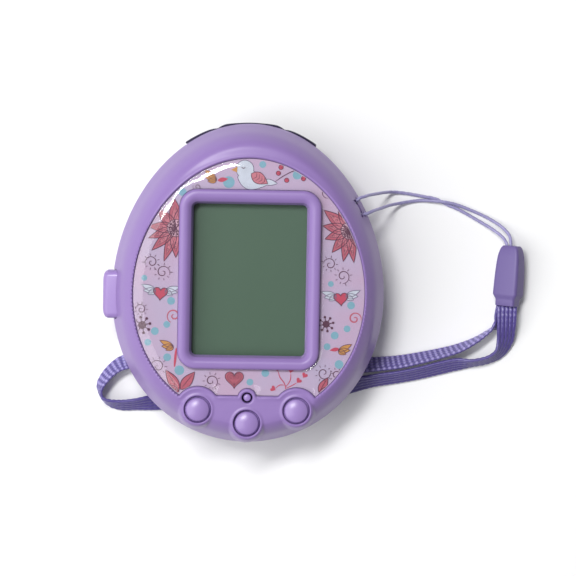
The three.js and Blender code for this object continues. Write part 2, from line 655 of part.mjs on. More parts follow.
add("front_shell", frontShell(), LILAC, 0.35);
add("back_shell", backShell(), LILAC, 0.35);
add("faceplate_print", faceSheet(19.6, 19.8), PINK_PRINT, 0.5);
add("faceplate_cover", faceSheet(20.1, 20.6), 0xffffff, 0.08);
add("lcd_window", extrude(roundedRect(12.1, 15.9, 1, 0, OPENING.y, 2), 17.9, 18.9), 0xe8f0ea, 0.05);
add("lcd_panel", extrude(roundedRect(13.5, 17.4, 0.4, 0, OPENING.y, 2), 15.3, 17.5), LCD_GREEN, 0.3);
add("lcd_frame", lcdFrame(), 0x2c2c30, 0.5);
add("zebra_strip", box(-12.5, 12.5, -15.4, -13.4, BOARD.topZ + GAP, 15.0), 0x3a3a3e, 0.8);
add("main_board", mainBoard(), 0x2f6b3c, 0.5);
add("chip_blob", chipBlob(), BLACK, 0.4);
add("crystal", crystal(), NICKEL, 0.3, 1);
add("buzzer", post(0, BUZZER.y, BUZZER.z, BUZZER.z + 0.7, BUZZER.r, BUZZER.r, 24), 0xc8a24a, 0.35, 1);
add("button_pad", buttonPad(), 0xb9b6c4, 0.7);
for (const b of BUTTONS) {
  add("button_" + b.name, frontButton(b), LILAC, 0.3);
}
add("reset_pin", resetPin(), LILAC, 0.35);
const resetY = [RESET.y - 1.6, RESET.y + 1.6];
add("reset_switch", box(-1.6, 1.6, ...resetY, BOARD.topZ + GAP, 13.6), BLACK, 0.5);
add("side_button", sideButton(), LILAC, 0.3);
const sideSwitch = join(
  box(-22.4, -18.4, -5.1, -0.1, 8.2, BOARD.bottomZ - GAP),
  box(-23.2, -22.2, -3.4, -1.8, 9.1, 10.7),
);
add("side_switch", sideSwitch, BLACK, 0.5);
add("ir_window", irWindow(), DARK_WINDOW, 0.15);
add("ir_led", irLed(), 0xd6d2e0, 0.15);
add("ir_receiver", box(1.6, 6.4, 26.2, 28.8, 7.3, BOARD.bottomZ - GAP), BLACK, 0.4);
add("battery_cover", batteryCover(), LILAC, 0.35);
add("battery_cover_screw", screw(0, COVER.screwY, 0.45, 1.75, 0.95, 0.7, 7.6), STEEL, 0.3, 1);
add("contact_bridge", box(-9.5, 9.5, -2.2, 2.2, 1.8, 2.05), NICKEL, 0.3, 1);
add("contact_positive", contactPlate(1), NICKEL, 0.3, 1);
add("contact_negative", contactPlate(-1), NICKEL, 0.3, 1);
add("battery_cell_1", cell(-CELL.x), NICKEL, 0.25, 1);
add("battery_cell_2", cell(CELL.x), NICKEL, 0.25, 1);
SCREW_POSTS.forEach((p, i) => {
  add("case_screw_" + (i + 1), screw(p.x, p.y, 6.7, 1.75, 1.3, 0.7, 15.6), STEEL, 0.3, 1);
});
BOARD_SCREWS.forEach((p, i) => {
  add("board_screw_" + (i + 1), screw(p.x, p.y, 10.2, 1.45, 1.1, 0.6, 15.4), STEEL, 0.3, 1);
});
add("strap_cap", strapCap(), CAP_PURPLE, 0.45);
add("loop_cord", loopCord(), 0x9a8fc4, 0.6);
add("wrist_ribbon", wristRibbon(), RIBBON_PURPLE, 0.7);

export default toy;
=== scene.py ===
"""Virtual pet keychain. Shapes are made in millimetres and turned into metres when they become objects."""

import math

import bmesh
import bpy
import numpy as np
from mathutils import Matrix, Vector, geometry


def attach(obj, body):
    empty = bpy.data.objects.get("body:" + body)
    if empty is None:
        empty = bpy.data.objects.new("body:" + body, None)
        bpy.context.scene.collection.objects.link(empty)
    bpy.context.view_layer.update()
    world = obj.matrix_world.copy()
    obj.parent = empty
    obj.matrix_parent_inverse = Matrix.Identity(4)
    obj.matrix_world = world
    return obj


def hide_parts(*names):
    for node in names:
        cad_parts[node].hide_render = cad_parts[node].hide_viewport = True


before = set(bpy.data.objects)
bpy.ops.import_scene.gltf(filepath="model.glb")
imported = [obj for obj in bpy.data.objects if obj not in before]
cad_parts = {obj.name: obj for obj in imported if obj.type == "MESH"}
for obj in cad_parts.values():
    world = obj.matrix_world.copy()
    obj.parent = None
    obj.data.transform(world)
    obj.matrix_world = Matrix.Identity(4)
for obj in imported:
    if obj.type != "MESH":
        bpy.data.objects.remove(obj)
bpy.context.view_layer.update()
MM = 0.001

# ---- Camera: straight above the toy, leaning a little ----
AIM = Vector((8.207, -0.828, 11)) * MM
CAMERA_OFFSET = Vector((-0.035, 0.052, 0.998)) * 0.45
PICTURE_UP = Vector((-0.0192, 0.9998, 0))


def placed(position, right, up, back):
    """Matrix that puts an object at a position with these axes."""
    return Matrix.Translation(position) @ Matrix((right, up, back)).transposed().to_4x4()


def add_to_scene(obj):
    bpy.context.scene.collection.objects.link(obj)


def add_camera():
    camera = bpy.data.objects.new("camera", bpy.data.cameras.new("camera"))
    camera.data.lens = 135.6
    camera.data.clip_start = 0.02
    back = CAMERA_OFFSET.normalized()
    right = PICTURE_UP.cross(back).normalized()
    up = back.cross(right)
    camera.matrix_world = placed(AIM + CAMERA_OFFSET, right, up, back)
    add_to_scene(camera)
    bpy.context.scene.camera = camera


# ---- Driving dimensions (mm) ----
HALF_WIDTH = 28.1
HALF_LENGTH = 33.0
EGG_TAPER = 0.07
FLAT_RATIO = 0.26
WALL = 1.6
PARTING_Z = 10.6
PARTING_GAP = 0.02
PARTING_CHAMFER = 0.13
FACE_FLOOR_Z = 19.3
PRINT_BASE_Z = 19.45
INK_Z = 19.8
COVER_BASE_Z = 20.0
COVER_TOP_Z = 20.72
CEILING_Z = 17.8
FACE_INSET = 4.55
FACE_BOTTOM_Y = -22.5
SHEET_GAP = 0.1
BEZEL = dict(half_x=14.4, half_y=18.25, corner=3.7, y=1.2)
OPENING = dict(half_x=11.55, half_y=15.4, corner=1.0, y=1.1)
LEDGE_Z = 19.2
HOLE_R = 2.75
BUTTON_R = 2.38
BUTTON_TOP_Z = {"left": 21.0, "middle": 20.7, "right": 21.0}
BUTTON_DOME_R = 5.2
BUTTON_WELL_R = 4.1
BUTTON_WELL_Z = 14.4
BUTTONS = {"left": (-10.05, -25.4), "middle": (0.0, -28.1), "right": (10.05, -25.4)}
SIDE_BOSS_R = 4.7
RESET_XY = (0.0, -22.9)
RESET = dict(hole_r=1.08, pin_r=0.76, boss_r=1.9)
SIDE_BUTTON = dict(y=-2.6, z=11.1, half_y=4.97, half_z=2.5, corner=1.3, proud=2.05)
SCREW_POSTS = [(-13.3, 23.8), (13.3, 23.8), (-19.5, -12.5), (19.5, -12.5)]
SCREW_BOSS_R = 2.6
BAY = dict(half_x=15.1, half_y=9.6, corner=7.1)
BAY_ROOF_Z = 9.2
COVER = dict(half_x=13.8, half_y=8.3, corner=6.0, screw_y=11.0, tongue_r=4.0)
COVER_GAP = 0.12
BUZZER_Y = 20.5
STRAP = dict(angle=math.radians(30.2), inset=0.68, z=13.0, bend_r=1.75, r=0.62)
CORD_D = 0.7
RIBBON = dict(width=4.2, thickness=0.8)
CAP = dict(width=5.6, depth=4.4, turn=math.radians(33))


# ---- Mesh helpers ----
class Shape:
    """Points and faces, gathered part by part."""

    def __init__(self):
        self.points = []
        self.faces = []

    def add(self, points):
        start = len(self.points)
        self.points.extend(tuple(float(c) for c in p) for p in points)
        return start

    def skin(self, rings):
        sides = len(rings[0])
        start = self.add(p for ring in rings for p in ring)
        for i in range(len(rings) - 1):
            for j in range(sides):
                a = start + i * sides + j
                b = start + i * sides + (j + 1) % sides
                self.faces.append((a, b, b + sides, a + sides))

    def cap(self, ring):
        start = self.add(ring)
        self.faces.append(tuple(range(start, start + len(ring))))

    def fill(self, loops, inner, height):
        """Triangles between the first loop and the holes, through the inner points, at height(xy)."""
        points, faces = triangulate(loops, inner)
        start = self.add(draped(points, height))
        self.faces.extend(tuple(start + i for i in face) for face in faces)

    def mesh(self):
        mesh = bpy.data.meshes.new("work")
        mesh.from_pydata(self.points, [], self.faces)
        bm = bmesh.new()
        bm.from_mesh(mesh)
        bmesh.ops.remove_doubles(bm, verts=bm.verts, dist=0.002)
        bmesh.ops.dissolve_degenerate(bm, edges=bm.edges, dist=0.0005)
        bmesh.ops.recalc_face_normals(bm, faces=bm.faces)
        bm.to_mesh(mesh)
        bm.free()
        return mesh


def inside(points, loop):
    """Which points lie within a closed loop."""
    x, y = points[:, 0], points[:, 1]
    result = np.zeros(len(points), bool)
    for (x0, y0), (x1, y1) in zip(loop, np.roll(loop, -1, axis=0)):
        if y0 == y1:
            continue
        crosses = (y0 > y) != (y1 > y)
        result ^= crosses & (x < (x1 - x0) * (y - y0) / (y1 - y0) + x0)
    return result


def distance_to(points, loop, closed=True):
    """Distance of each point from a line of points."""
    ends = np.roll(loop, -1, axis=0) if closed else loop[1:]
    starts = loop if closed else loop[:-1]
    best = np.full(len(points), 1e9)
    for a, b in zip(starts, ends):
        along = b - a
        length = along @ along
        if length == 0:
            continue
        t = np.clip(((points - a) @ along) / length, 0, 1)
        best = np.minimum(best, np.linalg.norm(points - a - t[:, None] * along, axis=1))
    return best


def from_axis(points, centre):
    """Distance of each point from a vertical axis."""
    return np.hypot(points[:, 0] - centre[0], points[:, 1] - centre[1])


def unit(vector):
    return vector / np.linalg.norm(vector)


def directions(line):
    """Unit vectors along a line of points."""
    along = np.gradient(line, axis=0)
    return along / np.linalg.norm(along, axis=1)[:, None]


def triangulate(loops, inner, keep=None):
    """Triangles within the first loop and outside the others, or those whose centres keep() accepts."""
    coords = []
    edges = []
    for loop in loops:
        start = len(coords)
        coords.extend(Vector(p) for p in loop)
        edges.extend((start + i, start + (i + 1) % len(loop)) for i in range(len(loop)))
    coords.extend(Vector(p) for p in inner)
    points, _, faces = geometry.delaunay_2d_cdt(coords, edges, [], 0, 1e-5)[:3]
    points = np.array(points)
    faces = np.array(faces)
    centres = points[faces].mean(axis=1)
    if keep is None:
        wanted = inside(centres, loops[0])
        for hole in loops[1:]:
            wanted &= ~inside(centres, hole)
    else:
        wanted = keep(centres)
    return points, faces[wanted]


def combine(mesh, operation, *others):
    """DIFFERENCE, UNION or INTERSECT of closed meshes."""
    for other in others:
        base = bpy.data.objects.new("base", mesh)
        tool = bpy.data.objects.new("tool", other)
        for o in (base, tool):
            add_to_scene(o)
        modifier = base.modifiers.new("combine", "BOOLEAN")
        modifier.operation = operation
        modifier.solver = "MANIFOLD"
        modifier.object = tool
        bpy.context.view_layer.update()
        shown = base.evaluated_get(bpy.context.evaluated_depsgraph_get())
        mesh = bpy.data.meshes.new_from_object(shown)
        for o in (base, tool):
            bpy.data.objects.remove(o)
    return mesh


def piece(name, mesh, material, body, replaces=(), sharp=38):
    """Object in metres that rides on a body."""
    mesh.transform(Matrix.Scale(MM, 4))
    mesh.materials.clear()
    mesh.materials.append(material)
    mesh.shade_smooth()
    mesh.set_sharp_from_angle(angle=math.radians(sharp))
    obj = bpy.data.objects.new(name, mesh)
    add_to_scene(obj)
    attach(obj, body)
    if replaces:
        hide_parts(*replaces)
    return obj


def loft(rings):
    """Closed skin over rings of points, with its two ends capped."""
    shape = Shape()
    shape.skin(rings)
    shape.cap(rings[0])
    shape.cap(rings[-1])
    return shape.mesh()


def flat_ring(loop, z):
    return np.column_stack([loop, np.full(len(loop), z)])


def draped(points, height):
    """Flat points lifted to height(xy)."""
    return np.column_stack([points, height(points)])


def flat_at(z):
    return lambda points: np.full(len(points), z)


def prism(loop, z0, z1):
    return loft([flat_ring(loop, z0), flat_ring(loop, z1)])


def circle(x, y, r, sides=64):
    angles = np.arange(sides) * 2 * math.pi / sides
    return np.column_stack([x + r * np.cos(angles), y + r * np.sin(angles)])


def turned(x, y, profile, sides=96):
    """Solid of revolution about a vertical axis, from (radius, z) pairs that stay off the axis."""
    return loft([flat_ring(circle(x, y, r, sides), z) for r, z in profile])


def post(x, y, z0, z1, r, sides=48):
    return turned(x, y, [(r, z0), (r, z1)], sides)


def box(x0, x1, y0, y1, z0, z1):
    return prism(np.array([(x0, y0), (x1, y0), (x1, y1), (x0, y1)]), z0, z1)


def rounded_rect(half_x, half_y, corner, x=0.0, y=0.0, steps=10):
    points = []
    for quarter, (side_x, side_y) in enumerate([(1, 1), (-1, 1), (-1, -1), (1, -1)]):
        for i in range(steps + 1):
            angle = (quarter + i / steps) * math.pi / 2
            points.append((
                x + side_x * (half_x - corner) + corner * math.cos(angle),
                y + side_y * (half_y - corner) + corner * math.sin(angle),
            ))
    return np.array(points)


def smooth_curve(points):
    """Smooth monotone curve through (x, y) points, as a function."""
    xs, ys = np.array(points, float).T
    steps = np.diff(xs)
    rises = np.diff(ys) / steps
    slopes = np.zeros(len(xs))
    slopes[0], slopes[-1] = rises[0], rises[-1]
    for i in range(1, len(xs) - 1):
        if rises[i - 1] * rises[i] > 0:
            slopes[i] = 2 * rises[i - 1] * rises[i] / (rises[i - 1] + rises[i])

    def value(x):
        x = np.clip(x, xs[0], xs[-1])
        i = np.clip(np.searchsorted(xs, x, side="right") - 1, 0, len(xs) - 2)
        t = (x - xs[i]) / steps[i]
        return (
            ys[i] * (1 + 2 * t) * (1 - t) ** 2
            + ys[i + 1] * t * t * (3 - 2 * t)
            + steps[i] * (slopes[i] * t * (1 - t) ** 2 - slopes[i + 1] * t * t * (1 - t))
        )

    return value


def catmull_rom(points, samples):
    """Centripetal curve through the points, evenly sampled in their index."""
    points = [np.array(p, float) for p in points]
    extended = [2 * points[0] - points[1], *points, 2 * points[-1] - points[-2]]
    result = []
    for position in np.linspace(0, len(points) - 1, samples):
        i = min(int(position), len(points) - 2)
        t = position - i
        p0, p1, p2, p3 = extended[i:i + 4]
        d0, d1, d2 = (max(np.sqrt(np.linalg.norm(b - a)), 1e-4) for a, b in ((p0, p1), (p1, p2), (p2, p3)))
        m1 = d1 * ((p1 - p0) / d0 - (p2 - p0) / (d0 + d1) + (p2 - p1) / d1)
        m2 = d1 * ((p2 - p1) / d1 - (p3 - p1) / (d1 + d2) + (p3 - p2) / d2)
        result.append(
            p1 * (1 + 2 * t) * (1 - t) ** 2 + p2 * t * t * (3 - 2 * t)
            + m1 * t * (1 - t) ** 2 - m2 * t * t * (1 - t)
        )
    return np.array(result)


def resample(points, spacing):
    """Points at even spacing along a line, with the distance of each from its start."""
    lengths = np.concatenate([[0], np.cumsum(np.linalg.norm(np.diff(points[:, :3], axis=0), axis=1))])
    distances = np.linspace(0, lengths[-1], int(lengths[-1] / spacing) + 1)
    columns = [np.interp(distances, lengths, column) for column in points.T]
    return np.column_stack(columns), distances


# ---- Materials ----
def srgb(colour):
    """Linear colour from an 8-bit one."""
    return tuple(((c / 255 + 0.055) / 1.055) ** 2.4 if c > 10 else c / 255 / 12.92 for c in colour) + (1,)


def shader(material, **sockets):
    node = next(n for n in material.node_tree.nodes if n.type == "BSDF_PRINCIPLED")
    for name, value in sockets.items():
        node.inputs[name.replace("_", " ")].default_value = value
    return node


def add_node(material, kind, **values):
    node = material.node_tree.nodes.new("ShaderNode" + kind)
    for name, value in values.items():
        node.inputs[name.replace("_", " ")].default_value = value
    return node


def colour_mix(material, **colours):
    mix = add_node(material, "Mix")
    mix.data_type = "RGBA"
    for name, colour in colours.items():
        mix.inputs[name].default_value = srgb(colour)
    return mix


def connect(material, *wires):
    """Joins sockets; a wire is (node, output, node, input)."""
    for source, output, target, socket in wires:
        material.node_tree.links.new(source.outputs[output], target.inputs[socket])


def textured(name, colour, second, roughness, grain=1600, bump=0.03, patch=180, **sockets):
    """Principled finish whose colour drifts between two tones and whose surface has a fine grain."""
    material = bpy.data.materials.new(name)
    material.use_nodes = True
    node = shader(material, Metallic=sockets.pop("metallic", 0.0), **sockets)
    place = add_node(material, "TexCoord")
    patches = add_node(material, "TexNoise", Scale=patch, Detail=5)
    mix = colour_mix(material, A=colour, B=second)
    rough = add_node(material, "MapRange", To_Min=roughness * 0.85, To_Max=min(1, roughness * 1.15))
    fine = add_node(material, "TexNoise", Scale=grain, Detail=3)
    relief = add_node(material, "Bump", Strength=bump, Distance=0.0002)
    connect(
        material,
        (place, "Object", patches, "Vector"),
        (place, "Object", fine, "Vector"),
        (patches, "Fac", mix, "Factor"),
        (mix, "Result", node, "Base Color"),
        (patches, "Fac", rough, "Value"),
        (rough, "Result", node, "Roughness"),
        (fine, "Fac", relief, "Height"),
        (relief, "Normal", node, "Normal"),
    )
    return material


def clear(name, roughness, reflected):
    """Clear plastic: a gloss that grows towards the edges over a see-through body."""
    material = bpy.data.materials.new(name)
    material.use_nodes = True
    material.node_tree.nodes.clear()
    output = add_node(material, "OutputMaterial")
    mix = add_node(material, "MixShader")
    facing = add_node(material, "LayerWeight")
    steep = add_node(material, "Math")
    steep.operation = "POWER"
    steep.inputs[1].default_value = 4
    gain = add_node(material, "MapRange", To_Min=reflected)
    through = add_node(material, "BsdfTransparent")
    gloss = add_node(material, "BsdfGlossy")
    wear = add_node(material, "TexNoise", Scale=300, Detail=6)
    rough = add_node(material, "MapRange", To_Min=roughness * 0.6, To_Max=roughness * 1.4)
    place = add_node(material, "TexCoord")
    connect(
        material,
        (place, "Object", wear, "Vector"),
        (wear, "Fac", rough, "Value"),
        (rough, "Result", gloss, "Roughness"),
        (facing, "Facing", steep, 0),
        (steep, "Value", gain, "Value"),
        (gain, "Result", mix, "Fac"),
        (through, "BSDF", mix, 1),
        (gloss, "BSDF", mix, 2),
        (mix, "Shader", output, "Surface"),
    )
    return material


SHELL = textured("shell_lilac", (139, 114, 172), (143, 118, 176), 0.36, grain=2500, bump=0.02,
                 Specular_IOR_Level=0.35)
BUTTON = textured("button_lilac", (148, 123, 182), (152, 127, 186), 0.3, grain=2500, bump=0.015)
IR_DARK = textured("ir_plum", (46, 40, 66), (56, 48, 76), 0.16, bump=0.01)
CAP_PLASTIC = textured("cap_purple", (102, 87, 142), (106, 91, 146), 0.5, grain=3000, bump=0.05)
STEEL = textured("screw_zinc", (170, 172, 176), (198, 199, 202), 0.3, grain=5000, bump=0.06,
                 metallic=1.0)
CLEAR = clear("clear_cover", 0.06, 0.045)
SCREEN_CLEAR = clear("screen_window", 0.03, 0.035)


# ---- The egg ----
def egg(angles, inset=0.0):
    narrowing = 1 - EGG_TAPER * np.sin(angles)
    return np.column_stack([
        (HALF_WIDTH - inset) * np.cos(angles) * narrowing,
        (HALF_LENGTH - inset) * np.sin(angles),
    ])


def egg_loop(inset, sides=288):
    return egg(np.arange(sides) * 2 * math.pi / sides, inset)


def inset_of(points):
    """How far inside the outline each point lies."""
    low = np.full(len(points), -3.0)
    high = np.full(len(points), 27.0)
    for _ in range(30):
        middle = (low + high) / 2
        s = points[:, 1] / (HALF_LENGTH - middle)
        narrowing = 1 - EGG_TAPER * np.clip(s, -1.2, 1.2)
        outside = (points[:, 0] / ((HALF_WIDTH - middle) * narrowing)) ** 2 + s * s > 1
        high = np.where(outside, middle, high)
        low = np.where(outside, low, middle)
    return low


def outward_normal(angle):
    return unit(np.array([math.cos(angle) / HALF_WIDTH, math.sin(angle) / HALF_LENGTH]))


# ---- Faceplate outline ----
def face_edge(angle, gap):
    angles = np.atleast_1d(angle)
    up = np.maximum(0, np.sin(angles))
    down = np.maximum(0, -np.sin(angles))
    return egg(angles, FACE_INSET + 2.65 * up ** 2 + 1.2 * down ** 2 + gap)


def face_loop(gap):
    """Outline of the faceplate, shrunk by the gap, counter-clockwise from its lower right tip."""
    centre = np.array(BUTTONS["right"])
    radius = SIDE_BOSS_R + gap
    low, high = math.radians(-60), math.radians(-45)
    for _ in range(30):
        middle = (low + high) / 2
        if np.linalg.norm(face_edge(middle, gap)[0] - centre) < radius:
            low = middle
        else:
            high = middle
    angles = np.linspace(high, math.pi - high, 181)
    upper = face_edge(angles, gap)
    bottom = FACE_BOTTOM_Y + gap
    tip = upper[0] - centre
    drop = bottom - centre[1]
    from_tip = math.atan2(tip[1], tip[0])
    to_line = math.pi - math.asin(drop / radius)
    turns = np.linspace(to_line, from_tip, 33)[:-1]
    right_arc = centre + radius * np.column_stack([np.cos(turns), np.sin(turns)])
    reset_radius = RESET["boss_r"] + gap
    lean = math.asin((bottom - RESET_XY[1]) / reset_radius)
    turns = np.linspace(math.pi - lean, lean, 25)
    reset_arc = np.array(RESET_XY) + reset_radius * np.column_stack([np.cos(turns), np.sin(turns)])
    line = np.linspace(reset_arc[-1], right_arc[0], 9)[1:-1]
    right_side = np.concatenate([line, right_arc])
    left_side = (right_side * (-1, 1))[::-1]
    return np.concatenate([upper, left_side, reset_arc, right_side])


# ---- Front shell ----
FRONT_OUTSIDE = smooth_curve([
    (0, 10.75), (0.2, 11.5), (1.0, 14.0), (1.8, 16.4), (2.3, 17.5),
    (3.0, 18.6), (3.8, 19.5), (4.7, 20.1), (6.0, 20.3), (12, 20.4),
])
FRONT_INSIDE = smooth_curve([
    (1.6, PARTING_Z), (1.8, 11.4), (2.6, 13.4), (3.3, 15.4), (4.3, 16.9), (6.2, CEILING_Z),
])
BOSS_TOP_Z = 20.3
EDGE_R = 0.32
LIP = 0.16  # small ridge along the faceplate's edge
FILLET_STEPS = (0.05, 0.12, 0.2, 0.32, 0.42)


def smooth_max(a, b, blend):
    h = np.clip(0.5 + 0.5 * (a - b) / blend, 0, 1)
    return b + (a - b) * h + blend * h * (1 - h)


def edge_drop(distance, radius=EDGE_R):
    """How much an edge rounding lowers the surface at a distance from the edge."""
    return radius - np.sqrt(radius ** 2 - np.clip(radius - distance, 0, radius) ** 2)


def front_height(points):
    inset = inset_of(points)
    height = FRONT_OUTSIDE(inset)
    above_rim = 12 * (np.clip(0.25 - inset, 0, None) / 0.25) ** 2
    edge = face_loop(0)
    for centre in BUTTONS.values():
        distance = from_axis(points, centre)
        boss = BOSS_TOP_Z - 3.0 * (np.clip(distance - 2.85, 0, None) / 1.3) ** 2.3 - above_rim
        height = smooth_max(height, boss, 0.6)
    from_edge = distance_to(points, edge)
    height = height + LIP * np.exp(-(((from_edge - 0.42) / 0.36) ** 2))
    drop = edge_drop(from_edge)
    rims = [(centre, HOLE_R, 0.24) for centre in BUTTONS.values()] + [(RESET_XY, RESET["hole_r"], 0.3)]
    for centre, radius, rounding in rims:
        drop = np.maximum(drop, edge_drop(np.abs(from_axis(points, centre) - radius), rounding))
    return height - drop


def front_inside_height(points):
    height = FRONT_INSIDE(inset_of(points))
    return np.where(near_boss(points, BUTTON_WELL_R), np.minimum(height, BUTTON_WELL_Z), height)


def hole_loops(grow=0.0):
    """Rims of the button holes and the reset hole, grown outwards."""
    loops = [circle(x, y, HOLE_R + grow, 96) for x, y in BUTTONS.values()]
    return loops + [circle(*RESET_XY, RESET["hole_r"] + min(grow, 0.25), 48)]


def hex_grid(x0, x1, y0, y1, spacing):
    rows = np.arange(y0, y1, spacing * 0.866)
    points = [(x + (i % 2) * spacing / 2, y) for i, y in enumerate(rows) for x in np.arange(x0, x1, spacing)]
    return np.array(points)


def near_boss(points, radius):
    return np.any([from_axis(points, centre) < radius for centre in BUTTONS.values()], axis=0)


def front_surface_points():
    """Points that carry the ring's shape: rings along the outline, rings round the bosses, a grid between."""
    insets = (0.08, 0.2, 0.35, 0.55, 0.8, 1.1, 1.4, 1.7, 1.95, 2.15, 2.35, 2.6, 2.9, 3.2, 3.5, 3.8, 4.1, 4.5,
              5, 5.5, 6)
    rings = np.concatenate([egg_loop(inset) for inset in insets])
    grid = hex_grid(-18, 18, -31, -20, 0.4)
    grid = grid[inset_of(grid) > 6.2]
    spread = np.concatenate([rings, grid])
    spread = spread[~near_boss(spread, 5.0)]
    polar = []
    centres = np.array(list(BUTTONS.values()))
    for centre in centres:
        for radius in np.arange(3.2, 5.0, 0.14):
            ring = circle(*centre, radius, 110)
            nearest = np.linalg.norm(ring[:, None] - centres[None], axis=2)
            own = np.linalg.norm(ring - centre, axis=1)
            polar.append(ring[own <= nearest.min(axis=1) + 1e-6])
    polar = np.concatenate(polar)
    polar = polar[inset_of(polar) > 0.1]
    points = np.concatenate([spread, polar])
    edge = face_loop(0)
    clear_of_edges = ~inside(points, edge) & (distance_to(points, edge) > 1.02)
    for loop in hole_loops():
        clear_of_edges &= ~inside(points, loop) & (distance_to(points, loop) > 0.42)
    fillets = [face_loop(-step) for step in (*FILLET_STEPS, 0.56, 0.72, 0.9)]
    fillets = [f[~near_boss(f, HOLE_R + 0.5)] for f in fillets]
    fillets += [loop for step in FILLET_STEPS[:-2] for loop in hole_loops(step)]
    fillets += [circle(x, y, HOLE_R + step, 96) for x, y in BUTTONS.values() for step in FILLET_STEPS[-2:]]
    return np.concatenate([points[clear_of_edges], *fillets])


BEZEL_PROFILE = [
    (0, FACE_FLOOR_Z), (0, 20.85), (0.05, 21.05), (0.16, 21.22), (0.34, 21.36), (0.6, 21.45), (0.95, 21.495),
    (1.25, 21.5), (1.5, 21.46), (1.75, 21.37), (1.98, 21.22), (2.2, 21.04), (2.36, 20.9), (2.46, 20.76),
    (2.52, 20.6), (2.6, 20.3), (2.85, LEDGE_Z),
]


def bezel_ring(inset, z):
    part = inset / 2.85
    size = {key: BEZEL[key] + (OPENING[key] - BEZEL[key]) * part for key in BEZEL}
    return flat_ring(rounded_rect(**size), z)


def upright_ring(loop, x):
    """Loop round the side button's axis, at x."""
    across = np.broadcast_to(x, len(loop))
    return np.column_stack([across, SIDE_BUTTON["y"] - loop[:, 0], SIDE_BUTTON["z"] + loop[:, 1]])


def side_slot():
    s = SIDE_BUTTON
    loop = rounded_rect(s["half_y"] + 0.16, s["half_z"] + 0.16, s["corner"] + 0.16)
    return loft([upright_ring(loop, x) for x in (-35, -22)])


def strap_point(along, out):
    """Point beside the strap bar: along the wall and out from it."""
    normal = outward_normal(STRAP["angle"])
    tangent = np.array([-normal[1], normal[0]])
    start = egg(np.array([STRAP["angle"]]), STRAP["inset"])[0]
    return np.append(start + along * tangent + out * normal, STRAP["z"])


def tube(points, radius, sides):
    """Round bar along a line; the radius is one number, or one for each point and side."""
    radii = np.broadcast_to(radius, (len(points), sides))[:, :, None]
    turns = np.arange(sides)[:, None] * 2 * math.pi / sides
    along = directions(points)
    side = np.cross(along[0], (0, 0, 1))
    rings = []
    for p, direction, reach in zip(points, along, radii):
        side = unit(side - direction * (side @ direction))
        other = np.cross(direction, side)
        rings.append(p + reach * (np.cos(turns) * side + np.sin(turns) * other))
    return loft(rings)


def strap_channel():
    """Way of the loop cord through the side wall, round the bar, and the slit in front of the bar."""
    bend = STRAP["bend_r"]
    points = [strap_point(bend, 3.2), strap_point(bend, 1.8)]
    for turn in np.radians(np.arange(0, 181, 30)):
        points.append(strap_point(bend * math.cos(turn), 0.45 - bend * math.sin(turn)))
    points += [strap_point(-bend, 1.8), strap_point(-bend, 3.2)]
    way = tube(catmull_rom(points, 60), STRAP["r"], 28)
    arc = []
    for out, start in ((-0.72, -2.0), (-0.36, 2.0)):
        arc += [strap_point(a, out + 0.18 * math.cos(a * 1.2)) for a in np.linspace(start, -start, 13)]
    slit = prism(np.array(arc)[:, :2], STRAP["z"], 18)
    return combine(way, "UNION", slit)


def front_shell():
    shape = Shape()
    rim = egg_loop(0)
    edge = face_loop(0)
    holes = hole_loops()
    shape.fill([rim, edge, *holes], front_surface_points(), front_height)
    shape.skin([
        flat_ring(rim, 10.75),
        flat_ring(rim, PARTING_Z + PARTING_GAP + PARTING_CHAMFER - 0.02),
        flat_ring(egg_loop(PARTING_CHAMFER), PARTING_Z + PARTING_GAP),
        flat_ring(egg_loop(WALL), PARTING_Z + PARTING_GAP),
        flat_ring(egg_loop(WALL), PARTING_Z + 0.1),
    ])
    shape.skin([draped(edge, front_height), flat_ring(edge, FACE_FLOOR_Z)])
    shape.fill([edge, rounded_rect(**BEZEL)], [], flat_at(FACE_FLOOR_Z))
    pocket = rounded_rect(12.4, 16.2, 1.2, 0, OPENING["y"])
    rings = [bezel_ring(inset, z) for inset, z in BEZEL_PROFILE]
    shape.skin(rings + [flat_ring(pocket, LEDGE_Z), flat_ring(pocket, CEILING_Z)])
    for loop in holes:
        shape.skin([draped(loop, front_height), draped(loop, front_inside_height)])
    insets = (1.8, 2.2, 2.6, 3.0, 3.3, 3.8, 4.3, 5, 6.2)
    inner = np.concatenate([egg_loop(inset, 144) for inset in insets])
    beside_wells = [circle(x, y, r, 48) for x, y in BUTTONS.values() for r in (4.0, 4.2)]
    inner = np.concatenate([inner[~near_boss(inner, 4.4)], *beside_wells])
    inner = inner[~inside(inner, rounded_rect(12.8, 16.6, 1.2, 0, OPENING["y"])) & (inset_of(inner) > 1.75)]
    shape.fill([egg_loop(WALL), pocket, *holes], inner,
               lambda p: np.where(inset_of(p) < WALL + 0.02, PARTING_Z + 0.1, front_inside_height(p)))
    return combine(shape.mesh(), "DIFFERENCE", side_slot(), strap_channel())


# ---- Back shell ----
def dome(inset, z0, z1, sides, steps):
    """Rings of the back, from its flat middle up to the parting line."""
    rings = []
    for turn in np.linspace(0, math.pi / 2, steps):
        ratio = FLAT_RATIO + (1 - FLAT_RATIO) * (math.sin(turn) ** 2) ** (2 / 3)
        rings.append(flat_ring(egg_loop(inset, sides) * ratio, z0 + (z1 - z0) * (1 - math.cos(turn))))
    return rings


def cover_prism(gap):
    body = prism(rounded_rect(COVER["half_x"] + gap, COVER["half_y"] + gap, COVER["corner"]), -1, 3.4)
    tongue_r = COVER["tongue_r"] + gap
    return combine(body, "UNION", post(0, COVER["screw_y"], -1, 3.4, tongue_r, sides=96))


